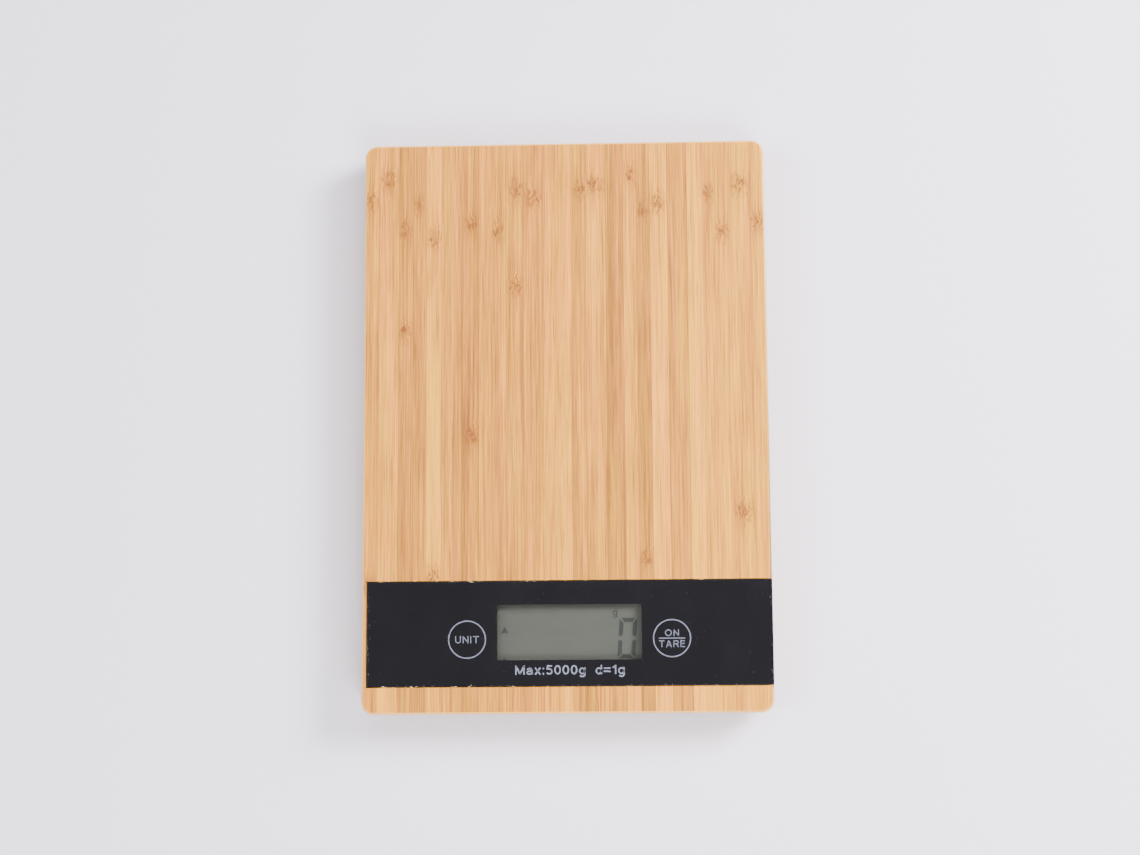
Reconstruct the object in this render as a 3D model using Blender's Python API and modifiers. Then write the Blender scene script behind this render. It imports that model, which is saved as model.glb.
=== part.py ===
# A slim kitchen scale: a bamboo board that is the weighing platform, a black display panel let into its
# top near the front edge, and four feet that each press on a load cell. The origin is on the table, under
# the middle of the board. +X is the user's right, +Y is away from the user and +Z is up. Metres throughout.

import math

import bmesh
import bpy
from mathutils import Matrix, Vector

# The bamboo board
board_width = 0.162
board_length = 0.230
board_thickness = 0.013
board_corner_radius = 0.005
board_edge_radius = 0.001
ride_height = 0.007

# Room left between pieces that rest on each other, and around a loose piece
gap = 0.0003
loose = 0.0008

# The display panel, let into the board's top and flush with its right-hand end
panel_width = 0.0412
panel_thickness = 0.002
panel_edge_radius = 0.0003
front_strip = 0.01045
left_lip = 0.0018
tape_thickness = 0.0005
tape_margin = 0.0015
dado_web = 0.003

# The display and its window, which is a little behind the panel's middle line
window_width = 0.057
window_depth = 0.0218
window_behind = 0.00045
lcd_width = 0.062
lcd_depth = 0.027
lcd_thickness = 0.0028
holder_wall = 0.0017
holder_ledge = 0.002
zebra_height = 0.0025
zebra_width = 0.0018
zebra_inset = 0.0008

# The touch keys, which are a little in front of the panel's middle line
key_spread = 0.0806
key_in_front = 0.00225
touch_coil_diameter = 0.005
touch_wire = 0.0005
touch_turns = 4

# The circuit board
main_board_thickness = 0.0012
main_board_margin = 0.0011
chip_diameter = 0.010
chip_height = 0.0014
board_screw_spread = 0.024

# Screws, and how far each kind reaches into the bamboo
board_screw_shank = 0.0016
board_screw_head = 0.0032
board_screw_bite = 0.002
cover_screw_shank = 0.0022
cover_screw_head = 0.0044
cover_screw_bite = 0.0048
screw_head_height = 0.0009
screw_cross_depth = 0.0005
screw_cross_width = 0.0006

# The bottom cover
cover_inset = 0.004
cover_thickness = 0.002
cover_corner_radius = 0.004
cover_edge_radius = 0.0005
cover_screw_inset = 0.0045
cover_side_screw_spread = 0.120

# The battery box, its sliding cover and the cells
battery_diameter = 0.0105
battery_length = 0.0445
battery_nub_length = 0.001
battery_nub_diameter = 0.0038
battery_setback = 0.024
skin_over_battery = 0.003
box_wall = 0.0014
box_roof = 0.0008
contact_thickness = 0.0004
contact_size = 0.008
contact_tab_width = 0.003
contact_tab_length = 0.004
battery_spring_length = 0.0064
battery_spring_diameter = 0.006
battery_spring_wire = 0.0005
battery_spring_turns = 4
lid_thickness = 0.002
lid_overlap = 0.0008
lid_handle = 0.004
tongue_width = 0.0012
tongue_thickness = 0.001
rail_wall = 0.002
grip_groove_count = 5
grip_groove_width = 0.0008
grip_groove_depth = 0.0005
grip_groove_pitch = 0.0016
grip_groove_length = 0.014

# The feet and the load cells above them
foot_inset = 0.019
foot_travel = 0.00025
pad_diameter = 0.020
pad_thickness = 0.0016
pad_proud = 0.0009
cup_wall = 0.0017
cup_web = 0.0015
cup_flange_width = 0.0015
cup_flange_thickness = 0.001
post_diameter = 0.005
load_cell_size = 0.024
load_cell_thickness = 0.0015
load_cell_lift = 0.0013
tongue_slot = 0.0015
cell_tongue_width = 0.010
cell_frame_width = 0.0035
coat_thickness = 0.0008
coat_width = 0.007
coat_length = 0.006
carrier_rim = 0.0017
carrier_web = 0.0015

# The leads and the channels that they lie in
lead_diameter = 0.0012
lead_from_foot_centre = 0.006
channel_width = 0.003
channel_x = 0.038
battery_lead_spacing = 0.0024
lead_bend = 0.0014

# Facets around the round pieces, and across a rounded corner or edge
round_steps = 40
small_steps = 20
corner_steps = 4
board_corner_steps = 10
edge_steps = 2
board_edge_steps = 4

# Heights, from the top of the board down
board_top = ride_height + board_thickness
panel_bottom = board_top - panel_thickness
tape_top = panel_bottom - gap
tape_bottom = tape_top - tape_thickness
dado_floor = tape_bottom - gap
electronics_roof = dado_floor - dado_web
lcd_top = tape_bottom - gap
lcd_bottom = lcd_top - lcd_thickness
zebra_top = lcd_bottom - gap
zebra_bottom = zebra_top - zebra_height
main_board_top = zebra_bottom - gap
main_board_bottom = main_board_top - main_board_thickness
board_screw_seat = main_board_bottom - gap
board_screw_tip = electronics_roof + board_screw_bite
cover_top = ride_height - gap
cover_bottom = cover_top - cover_thickness
cover_screw_seat = cover_bottom + screw_head_height
cover_screw_tip = ride_height + cover_screw_bite
battery_pocket_roof = board_top - skin_over_battery
box_top = battery_pocket_roof - gap
bay_roof = box_top - box_roof
battery_axis = bay_roof - gap - battery_diameter / 2
battery_bottom = battery_axis - battery_diameter / 2
lid_top = min(cover_bottom, battery_bottom) - gap
lid_bottom = lid_top - lid_thickness

# Heights of the feet, from the table up
pad_recess_roof = pad_thickness + gap
cup_floor = pad_recess_roof + cup_web
flange_bottom = cover_top + gap
flange_top = flange_bottom + cup_flange_thickness
load_cell_bottom = flange_top + load_cell_lift
load_cell_top = load_cell_bottom + load_cell_thickness
coat_bottom = load_cell_top + gap
coat_top = coat_bottom + coat_thickness
carrier_ledge = load_cell_top + gap
carrier_recess_roof = coat_top + foot_travel + gap
carrier_top = carrier_recess_roof + carrier_web
foot_pocket_roof = carrier_top + gap
lead_height = (load_cell_bottom + load_cell_top) / 2
channel_roof = lead_height + lead_diameter / 2 + gap * 2

# Places in plan
board_right = board_width / 2
board_front = -board_length / 2
panel_left = -board_right + left_lip + gap
panel_right = board_right
panel_x = (panel_left + panel_right) / 2
dado_front = board_front + front_strip
dado_width = panel_width + 2 * gap
panel_y = dado_front + dado_width / 2
window_x = panel_x
window_y = panel_y + window_behind
key_y = panel_y - key_in_front
key_places = {"unit": panel_x - key_spread / 2, "tare": panel_x + key_spread / 2}
foot_x = board_width / 2 - foot_inset
foot_y = board_length / 2 - foot_inset
foot_places = {
    "front_left": (-foot_x, -foot_y),
    "front_right": (foot_x, -foot_y),
    "back_left": (-foot_x, foot_y),
    "back_right": (foot_x, foot_y),
}
main_board_width = key_spread + touch_coil_diameter + 2 * main_board_margin
main_board_depth = lcd_depth + 2 * (gap + holder_wall + main_board_margin)
main_board_back = window_y + main_board_depth / 2
electronics_back = main_board_back + loose
carrier_size = load_cell_size + 2 * (gap + carrier_rim)
foot_pocket_size = carrier_size + 2 * gap
pad_radius = pad_diameter / 2
cup_radius = pad_radius + gap + cup_wall
flange_radius = cup_radius + cup_flange_width
bay_length = battery_length + battery_spring_length + 2 * (contact_thickness + gap) + 2 * gap
bay_depth = 2 * battery_diameter + 3 * gap
box_length = bay_length + 2 * box_wall
box_depth = bay_depth + 2 * box_wall
bay_y = electronics_back + battery_setback + box_depth / 2
battery_offset = (battery_diameter + gap) / 2
lid_half_width = bay_length / 2 + lid_overlap
lid_front = bay_y - box_depth / 2 - gap
lid_back = bay_y + box_depth / 2 + gap + lid_handle
contact_x = bay_length / 2 - gap - contact_thickness / 2
tab_height = cover_top + gap + contact_tab_width / 2
lead_tab_x = box_length / 2 + contact_tab_length / 2


def clear_scene():
    for old in list(bpy.data.objects):
        bpy.data.objects.remove(old, do_unlink=True)


def collection_named(name, parent, hidden=False):
    found = bpy.data.collections.new(name)
    parent.children.link(found)
    found.hide_render = hidden
    return found


def material_named(name, colour, roughness, metallic=0.0, alpha=1.0):
    material = bpy.data.materials.new(name)
    material.use_nodes = True
    shader = material.node_tree.nodes["Principled BSDF"]
    shader.inputs["Base Color"].default_value = (*colour, 1.0)
    shader.inputs["Roughness"].default_value = roughness
    shader.inputs["Metallic"].default_value = metallic
    shader.inputs["Alpha"].default_value = alpha
    return material


def add_object(name, data, collection=None, material=None):
    made = bpy.data.objects.new(name, data)
    (collection or parts).objects.link(made)
    if material:
        data.materials.append(material)
    if collection and collection.hide_render:
        made.hide_render = True
        made.display_type = "WIRE"
    return made


def mesh_from(name, bm):
    mesh = bpy.data.meshes.new(name)
    bm.to_mesh(mesh)
    bm.free()
    return mesh


def smooth(mesh, degrees=35):
    mesh.shade_smooth()
    mesh.set_sharp_from_angle(angle=math.radians(degrees))


def box(name, low, high, collection=None, material=None, corner_radius=0.0, edge_radius=0.0, steps=None):
    """A box from one corner to the opposite one, with its upright edges and its rims rounded. The steps are
    the facets across a corner and across a rim."""
    across_corner, across_rim = steps or (corner_steps, edge_steps)
    size = Vector(high) - Vector(low)
    middle = (Vector(high) + Vector(low)) / 2
    bm = bmesh.new()
    bmesh.ops.create_cube(bm, size=1.0, matrix=Matrix.Translation(middle) @ Matrix.Diagonal(size).to_4x4())
    if corner_radius:
        upright = [e for e in bm.edges if abs(e.verts[0].co.z - e.verts[1].co.z) > size.z / 2]
        bmesh.ops.bevel(
            bm, geom=upright, offset=corner_radius, segments=across_corner, profile=0.5, affect="EDGES"
        )
    if edge_radius:
        rims = [e for e in bm.edges if abs(e.verts[0].co.z - e.verts[1].co.z) < size.z / 2]
        rims = [e for e in rims if abs(sum(f.normal.z for f in e.link_faces)) > 0.5]
        bmesh.ops.bevel(
            bm, geom=rims, offset=edge_radius, segments=across_rim, profile=0.5, affect="EDGES"
        )
    mesh = mesh_from(name, bm)
    smooth(mesh)
    return add_object(name, mesh, collection, material)


def cylinder(name, radius, low, high, place, collection=None, material=None, steps=None):
    """An upright cylinder between two heights."""
    bm = bmesh.new()
    middle = Matrix.Translation((place[0], place[1], (low + high) / 2))
    bmesh.ops.create_cone(
        bm, cap_ends=True, segments=steps or round_steps, radius1=radius, radius2=radius,
        depth=high - low, matrix=middle,
    )
    mesh = mesh_from(name, bm)
    smooth(mesh)
    return add_object(name, mesh, collection, material)


def turned(name, profile, collection=None, material=None, steps=None):
    """A profile of (radius, height) points, top to bottom down its outer side, turned about Z."""
    mesh = bpy.data.meshes.new(name)
    mesh.from_pydata([(r, 0.0, z) for r, z in profile], [(i, i + 1) for i in range(len(profile) - 1)], [])
    made = add_object(name, mesh, collection, material)
    screw = made.modifiers.new("Turn", "SCREW")
    screw.steps = screw.render_steps = steps or round_steps
    screw.use_merge_vertices = True
    screw.merge_threshold = 0.00001
    screw.use_smooth_shade = True
    return made


def prism(name, outline, low, high, collection=None, material=None):
    """A flat outline of (x, y) points, extruded between two heights."""
    curve = bpy.data.curves.new(name, "CURVE")
    curve.dimensions = "2D"
    curve.fill_mode = "BOTH"
    curve.extrude = (high - low) / 2
    spline = curve.splines.new("POLY")
    spline.points.add(len(outline) - 1)
    for point, (x, y) in zip(spline.points, outline):
        point.co = (x, y, 0.0, 1.0)
    spline.use_cyclic_u = True
    made = add_object(name, curve)
    made.location.z = (low + high) / 2
    return as_mesh(made, collection, material)


def wire(name, points, diameter, material):
    """A wire through the points, with flat closed ends."""
    curve = bpy.data.curves.new(name, "CURVE")
    curve.dimensions = "3D"
    curve.bevel_depth = diameter / 2
    curve.bevel_resolution = 1
    curve.use_fill_caps = True
    spline = curve.splines.new("POLY")
    spline.points.add(len(points) - 1)
    for point, place in zip(spline.points, points):
        point.co = (*place, 1.0)
    return add_object(name, curve, None, material)


def as_mesh(made, collection=None, material=None):
    """The object as its modifiers leave it, as a plain mesh under the same name."""
    graph = bpy.context.evaluated_depsgraph_get()
    mesh = bpy.data.meshes.new_from_object(made.evaluated_get(graph))
    bm = bmesh.new()
    bm.from_mesh(mesh)
    bmesh.ops.transform(bm, matrix=made.matrix_basis, verts=bm.verts)
    bmesh.ops.remove_doubles(bm, verts=bm.verts, dist=0.000001)
    bm.to_mesh(mesh)
    bm.free()
    name = made.name
    bpy.data.objects.remove(made, do_unlink=True)
    mesh.name = name
    return add_object(name, mesh, collection, material)


def boolean(target, operation, other):
    """Cuts the object or the whole collection from the target, or joins it on."""
    modifier = target.modifiers.new(other.name, "BOOLEAN")
    modifier.operation = operation
    modifier.solver = "EXACT"
    if isinstance(other, bpy.types.Collection):
        modifier.operand_type = "COLLECTION"
        modifier.collection = other
    else:
        modifier.object = other


def copies(made, places):
    """Shares the finished mesh of one object out to a dictionary of name: (x, y, z, turn about Z)."""
    made = as_mesh(made)
    mesh = made.data
    bpy.data.objects.remove(made, do_unlink=True)
    for name, (x, y, z, turn) in places.items():
        copy = add_object(name, mesh)
        copy.location = (x, y, z)
        copy.rotation_euler.z = turn


def rounded_route(points, bend):
    """The route with each of its corners rounded, starting the given distance before the corner."""
    knots = [Vector(p) for p in points]
    route = [knots[0]]
    for before, corner, after in zip(knots, knots[1:], knots[2:]):
        start = corner + (before - corner).normalized() * bend
        end = corner + (after - corner).normalized() * bend
        for i in range(corner_steps + 1):
            t = i / corner_steps
            route.append(start * (1 - t) ** 2 + corner * 2 * t * (1 - t) + end * t**2)
    return [*route, knots[-1]]


def coil_points(diameter, length, turns, per_turn=8):
    """A coil about Z whose first and last half turn lie flat, from z = 0 to its length."""
    count = int(turns * per_turn)
    points = []
    for i in range(count + 1):
        turn = i / per_turn
        rise = min(max((turn - 0.5) / (turns - 1.0), 0.0), 1.0)
        angle = turn * 2 * math.pi
        points.append((diameter / 2 * math.cos(angle), diameter / 2 * math.sin(angle), rise * length))
    return points


def board_cutters():
    """Everything that is milled or drilled in the bamboo."""
    milled = collection_named("board cutters", cutters, hidden=True)
    below = ride_height - 0.001
    above = board_top + 0.001
    box("dado", (-board_right + left_lip, dado_front, dado_floor),
        (board_right + 0.001, dado_front + dado_width, above), milled)
    half_width = lcd_width / 2 + gap + holder_wall + gap
    half_depth = lcd_depth / 2 + gap + holder_wall + gap
    box("display opening", (window_x - half_width, window_y - half_depth, electronics_roof - 0.001),
        (window_x + half_width, window_y + half_depth, dado_floor + 0.0005), milled)
    half_board = main_board_width / 2 + loose
    box("electronics pocket", (panel_x - half_board, window_y - main_board_depth / 2 - loose, below),
        (panel_x + half_board, electronics_back, electronics_roof), milled, corner_radius=0.0015)
    for key, x in key_places.items():
        cylinder(f"touch hole {key}", touch_coil_diameter / 2 + loose, electronics_roof - 0.001,
                 dado_floor + 0.0005, (x, key_y), milled, steps=small_steps)
    for number, (x, y) in enumerate(board_screw_places(), 1):
        cylinder(f"board pilot {number}", board_screw_shank / 2 + gap, electronics_roof - 0.001,
                 board_screw_tip + gap, (x, y), milled, steps=small_steps)
    for number, (x, y) in enumerate(cover_screw_places(), 1):
        cylinder(f"cover pilot {number}", cover_screw_shank / 2 + gap, below,
                 cover_screw_tip + gap, (x, y), milled, steps=small_steps)
    for corner, (x, y) in foot_places.items():
        half = foot_pocket_size / 2
        box(f"carrier pocket {corner}", (x - half, y - half, below), (x + half, y + half, foot_pocket_roof),
            milled, corner_radius=0.002)
        cylinder(f"flange pocket {corner}", flange_radius + 2 * gap, below - 0.0005, load_cell_bottom, (x, y),
                 milled)
        prism(f"channel {corner}", channel_outline(corner), below + 0.0002, channel_roof, milled)
    box("battery pocket", (-box_length / 2 - gap, bay_y - box_depth / 2 - gap, below - 0.0003),
        (box_length / 2 + gap, bay_y + box_depth / 2 + gap, battery_pocket_roof), milled)
    box("battery channel", (box_length / 2 - 0.001, electronics_back - 0.001, below + 0.0004),
        (box_length / 2 + contact_tab_length + gap, bay_y + box_depth / 4 + contact_tab_width, channel_roof),
        milled)
    return milled


def channel_outline(corner):
    """The channel from a foot's pocket to the electronics pocket, wide enough for its lead."""
    x, y = foot_places[corner]
    side = math.copysign(1.0, x)
    lead_y = y - math.copysign(lead_from_foot_centre, y)
    half = channel_width / 2
    outer = side * (foot_x - foot_pocket_size / 2 + 0.001)
    if y < 0:
        inner = side * (main_board_width / 2 - abs(panel_x))
        return [
            (inner, lead_y - half), (outer, lead_y - half), (outer, lead_y + half), (inner, lead_y + half),
        ]
    return [
        (outer, lead_y - half), (outer, lead_y + half), (side * (channel_x - half), lead_y + half),
        (side * (channel_x - half), electronics_back - 0.001),
        (side * (channel_x + half), electronics_back - 0.001), (side * (channel_x + half), lead_y - half),
    ]


def bamboo_board():
    board = box("bamboo_board", (-board_right, board_front, ride_height),
                (board_right, -board_front, board_top), None, bamboo, board_corner_radius, board_edge_radius,
                (board_corner_steps, board_edge_steps))
    boolean(board, "DIFFERENCE", board_cutters())


def display_panel():
    box("display_panel", (panel_left, panel_y - panel_width / 2, panel_bottom),
        (panel_right, panel_y + panel_width / 2, board_top), None, black_acrylic,
        edge_radius=panel_edge_radius)
    tape = box("panel_tape",
               (panel_left + tape_margin, panel_y - panel_width / 2 + tape_margin, tape_bottom),
               (panel_right - tape_margin, panel_y + panel_width / 2 - tape_margin, tape_top),
               None, black_tape)
    holes = collection_named("tape cutters", cutters, hidden=True)
    half_width = window_width / 2 + loose
    half_depth = window_depth / 2 + loose
    box("tape window", (window_x - half_width, window_y - half_depth, tape_bottom - 0.001),
        (window_x + half_width, window_y + half_depth, tape_top + 0.001), holes)
    for key, x in key_places.items():
        cylinder(f"tape hole {key}", touch_coil_diameter / 2 + loose, tape_bottom - 0.001,
                 tape_top + 0.001, (x, key_y), holes, steps=small_steps)
    boolean(tape, "DIFFERENCE", holes)


def display():
    box("lcd_cell", (window_x - lcd_width / 2, window_y - lcd_depth / 2, lcd_bottom),
        (window_x + lcd_width / 2, window_y + lcd_depth / 2, lcd_top), None, lcd_glass)
    for side, sign in (("front", -1), ("back", 1)):
        middle = window_y + sign * (lcd_depth / 2 - zebra_inset - zebra_width / 2)
        half_length = lcd_width / 2 - holder_ledge - loose
        box(f"zebra_strip_{side}", (window_x - half_length, middle - zebra_width / 2, zebra_bottom),
            (window_x + half_length, middle + zebra_width / 2, zebra_top), None, zebra_rubber)


def lcd_holder():
    """A flange on top of the circuit board, with a frame around the display that stands up through it."""
    edge = main_board_margin / 2
    flange_top_height = electronics_roof - gap
    holder = box("lcd_holder",
                 (panel_x - main_board_width / 2 + edge, window_y - main_board_depth / 2 + edge,
                  main_board_top + gap),
                 (panel_x + main_board_width / 2 - edge, main_board_back - edge, flange_top_height),
                 None, white_plastic)
    half_width = lcd_width / 2 + gap
    half_depth = lcd_depth / 2 + gap
    frame = box("display frame",
                (window_x - half_width - holder_wall, window_y - half_depth - holder_wall,
                 flange_top_height - 0.001),
                (window_x + half_width + holder_wall, window_y + half_depth + holder_wall, lcd_top),
                cutters)
    boolean(holder, "UNION", frame)
    holes = collection_named("holder cutters", cutters, hidden=True)
    box("display well", (window_x - half_width, window_y - half_depth, lcd_bottom - gap),
        (window_x + half_width, window_y + half_depth, lcd_top + 0.001), holes)
    box("connector well", (window_x - half_width + holder_ledge, window_y - half_depth, main_board_top),
        (window_x + half_width - holder_ledge, window_y + half_depth, lcd_bottom), holes)
    for key, x in key_places.items():
        cylinder(f"holder hole {key}", touch_coil_diameter / 2 + loose, main_board_top,
                 flange_top_height + 0.001, (x, key_y), holes, steps=small_steps)
    for number, (x, y) in enumerate(board_screw_places(), 1):
        cylinder(f"holder screw hole {number}", board_screw_shank / 2 + gap, main_board_top,
                 flange_top_height + 0.001, (x, y), holes, steps=small_steps)
    boolean(holder, "DIFFERENCE", holes)


def main_board():
    board = box("main_board",
                (panel_x - main_board_width / 2, window_y - main_board_depth / 2, main_board_bottom),
                (panel_x + main_board_width / 2, main_board_back, main_board_top), None, circuit_board)
    holes = collection_named("main board cutters", cutters, hidden=True)
    for number, (x, y) in enumerate(board_screw_places(), 1):
        cylinder(f"main board screw hole {number}", board_screw_shank / 2 + gap, main_board_bottom - 0.001,
                 main_board_top + 0.001, (x, y), holes, steps=small_steps)
    boolean(board, "DIFFERENCE", holes)
    chip_radius = chip_diameter / 2
    chip_bottom = main_board_top + gap
    chip = turned("chip_blob", [
        (0.0, chip_bottom + chip_height), (chip_radius * 0.6, chip_bottom + chip_height * 0.8),
        (chip_radius * 0.9, chip_bottom + chip_height * 0.4), (chip_radius, chip_bottom), (0.0, chip_bottom),
    ], None, epoxy, small_steps)
    chip.location = (window_x - window_width / 5, window_y, 0.0)


def touch_springs():
    """Their tops stand under the panel and their feet on the circuit board."""
    length = panel_bottom - gap - touch_wire - (main_board_top + gap)
    for key, x in key_places.items():
        spring = wire(f"touch_spring_{key}",
                      coil_points(touch_coil_diameter - touch_wire, length, touch_turns), touch_wire, steel)
        spring.location = (x, key_y, main_board_top + gap + touch_wire / 2)


def board_screw_places():
    return [(x, key_y + sign * board_screw_spread / 2) for x in key_places.values() for sign in (-1, 1)]


def cover_screw_places():
    side_x = board_width / 2 - cover_inset - cover_screw_inset
    end_y = board_length / 2 - cover_inset - cover_screw_inset
    sides = [(sx * side_x, sy * cover_side_screw_spread / 2) for sx in (-1, 1) for sy in (-1, 1)]
    return [*sides, (0.0, -end_y), (0.0, end_y)]


def screws(name, shank, head, seat, tip, places):
    """Pan-head screws that point up, with a cross in the head. The seat is the height of the underside of
    the head."""
    length = tip - seat
    screw = turned(name, [
        (0.0, length), (shank * 0.2, length), (shank / 2, length - shank), (shank / 2, 0.0),
        (head / 2, 0.0), (head / 2, -screw_head_height * 0.5), (head * 0.35, -screw_head_height),
        (0.0, -screw_head_height),
    ], None, steel, small_steps)
    cross = collection_named(f"{name} cutters", cutters, hidden=True)
    reach = head * 0.3
    half = screw_cross_width / 2
    bottom = -screw_head_height - 0.001
    top = -screw_head_height + screw_cross_depth
    box(f"{name} cross X", (-reach, -half, bottom), (reach, half, top), cross)
    box(f"{name} cross Y", (-half, -reach, bottom), (half, reach, top), cross)
    boolean(screw, "DIFFERENCE", cross)
    copies(screw, {f"{name}_{i}": (x, y, seat, 0.0) for i, (x, y) in enumerate(places, 1)})


def cover_rails():
    """A wall on three sides of the battery cover, with a lip under each of its tongues."""
    lid_x = lid_half_width + gap
    rails = box("battery rails", (-lid_x - tongue_width - rail_wall, lid_front - gap - rail_wall, lid_bottom),
                (lid_x + tongue_width + rail_wall, lid_back, cover_bottom + 0.0005), cutters)
    lip = lid_top - tongue_thickness - gap
    slots = collection_named("rail cutters", cutters, hidden=True)
    box("lid slot", (-lid_x, lid_front - gap, lid_bottom - 0.001),
        (lid_x, lid_back + 0.001, cover_bottom + 0.001), slots)
    box("tongue slot", (-lid_x - tongue_width, lid_front - gap, lip),
        (lid_x + tongue_width, lid_back + 0.001, cover_bottom + 0.001), slots)
    boolean(rails, "DIFFERENCE", slots)
    return rails


def bottom_cover():
    half_width = board_width / 2 - cover_inset
    half_length = board_length / 2 - cover_inset
    cover = box("bottom_cover", (-half_width, -half_length, cover_bottom),
                (half_width, half_length, cover_top), None, black_plastic, cover_corner_radius,
                cover_edge_radius, (board_corner_steps, board_edge_steps))
    battery_box = box("battery box", (-box_length / 2, bay_y - box_depth / 2, cover_bottom + 0.0005),
                      (box_length / 2, bay_y + box_depth / 2, box_top), cutters)
    boolean(cover, "UNION", cover_rails())
    boolean(cover, "UNION", battery_box)
    holes = collection_named("cover cutters", cutters, hidden=True)
    box("battery bay", (-bay_length / 2, bay_y - bay_depth / 2, lid_bottom - 0.001),
        (bay_length / 2, bay_y + bay_depth / 2, bay_roof), holes)
    for sign in (-1, 1):
        middle = bay_y + sign * battery_offset
        half_slot = contact_tab_width / 2 + gap
        box(f"contact slot {sign}", (bay_length / 2 - 0.001, middle - half_slot, tab_height - gap),
            (box_length / 2 + 0.001, middle + half_slot, tab_height + contact_thickness + gap), holes)
    for corner, place in foot_places.items():
        cylinder(f"foot hole {corner}", cup_radius + 1.3 * gap, cover_bottom - 0.001, cover_top + 0.001,
                 place, holes)
    for number, place in enumerate(cover_screw_places(), 1):
        cylinder(f"screw hole {number}", cover_screw_shank / 2 + gap, cover_bottom - 0.001,
                 cover_top + 0.001, place, holes, steps=small_steps)
        cylinder(f"counterbore {number}", cover_screw_head / 2 + gap, cover_bottom - 0.002,
                 cover_screw_seat + gap, place, holes, steps=small_steps)
    for number, place in enumerate(board_screw_places(), 1):
        head_bottom = board_screw_seat - screw_head_height
        cylinder(f"head relief {number}", board_screw_head / 2 + gap, head_bottom - gap, board_screw_seat,
                 place, holes, steps=small_steps)
    boolean(cover, "DIFFERENCE", holes)


def battery_cover():
    """The lid has its origin at its middle, on the line that it slides along."""
    lid = box("battery_cover", (-lid_half_width, lid_front, lid_bottom), (lid_half_width, lid_back, lid_top),
              None, black_plastic)
    tongues = box("lid tongues", (-lid_half_width - tongue_width, lid_front, lid_top - tongue_thickness),
                  (lid_half_width + tongue_width, lid_back - lid_handle, lid_top), cutters)
    boolean(lid, "UNION", tongues)
    grip = collection_named("grip cutters", cutters, hidden=True)
    for i in range(grip_groove_count):
        middle = lid_back - lid_handle / 2 - i * grip_groove_pitch
        box(f"grip groove {i}", (-grip_groove_length / 2, middle - grip_groove_width / 2, lid_bottom - 0.001),
            (grip_groove_length / 2, middle + grip_groove_width / 2, lid_bottom + grip_groove_depth), grip)
    boolean(lid, "DIFFERENCE", grip)
    lid = as_mesh(lid)
    middle = Vector((0.0, (lid_front + lid_back) / 2, lid_top))
    lid.data.transform(Matrix.Translation(-middle))
    lid.location = middle


def batteries():
    """Two cells side by side along X. The front one has its positive end on the right, and the back one
    on the left."""
    radius = battery_diameter / 2
    rim = 0.0004
    body = battery_length - battery_nub_length
    cell = turned("battery", [
        (0.0, battery_length), (battery_nub_diameter / 2, battery_length), (battery_nub_diameter / 2, body),
        (radius - rim, body), (radius, body - rim), (radius, rim), (radius - rim, 0.0), (0.0, 0.0),
    ], None, battery_wrap)
    positive_tip = contact_x - contact_thickness / 2 - gap
    cell.rotation_euler.y = math.pi / 2
    cell.location = (positive_tip - battery_length, 0.0, 0.0)
    bpy.context.view_layer.update()
    copies(cell, {
        "battery_front": (0.0, bay_y - battery_offset, battery_axis, 0.0),
        "battery_back": (0.0, bay_y + battery_offset, battery_axis, math.pi),
    })


def battery_contacts():
    low = battery_axis - contact_size / 2
    high = battery_axis + contact_size / 2
    half = contact_thickness / 2
    box("contact_link", (-contact_x - half, bay_y - battery_offset - contact_size / 2, low),
        (-contact_x + half, bay_y + battery_offset + contact_size / 2, high), None, nickel)
    for name, sign in (("positive", -1), ("negative", 1)):
        middle = bay_y + sign * battery_offset
        plate = box(f"contact_{name}",
                    (contact_x - half, middle - contact_size / 2, min(low, tab_height - half)),
                    (contact_x + half, middle + contact_size / 2, high), None, nickel)
        tab = box(f"contact tab {name}", (contact_x, middle - contact_tab_width / 2, tab_height),
                  (box_length / 2 + contact_tab_length, middle + contact_tab_width / 2,
                   tab_height + contact_thickness), cutters)
        boolean(plate, "UNION", tab)
    length = battery_spring_length - gap - battery_spring_wire
    for name, sign in (("front", -1), ("back", 1)):
        coil = coil_points(battery_spring_diameter - battery_spring_wire, length, battery_spring_turns)
        spring = wire(f"battery_spring_{name}", coil, battery_spring_wire, steel)
        spring.rotation_euler.y = -sign * math.pi / 2
        spring.location = (sign * (contact_x - half - gap - battery_spring_wire / 2),
                           bay_y + sign * battery_offset, battery_axis)


def battery_leads():
    """Each runs from a contact's tab, along its channel, to the back edge of the circuit board."""
    board_edge = main_board_back + gap + lead_diameter / 2
    for name, sign, material in (("positive", -1, red_wire), ("negative", 1, black_wire)):
        tab_y = bay_y + sign * battery_offset
        x = lead_tab_x + sign * battery_lead_spacing / 2
        start_height = tab_height + contact_thickness + gap + lead_diameter / 2
        end_height = (main_board_top + main_board_bottom) / 2
        points = [(x, tab_y, start_height), (x, board_edge + 0.008, start_height),
                  (x, board_edge + 0.002, end_height), (x, main_board_back + gap, end_height)]
        wire(f"battery_lead_{name}", rounded_route(points, lead_bend / 2), lead_diameter, material)


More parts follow.
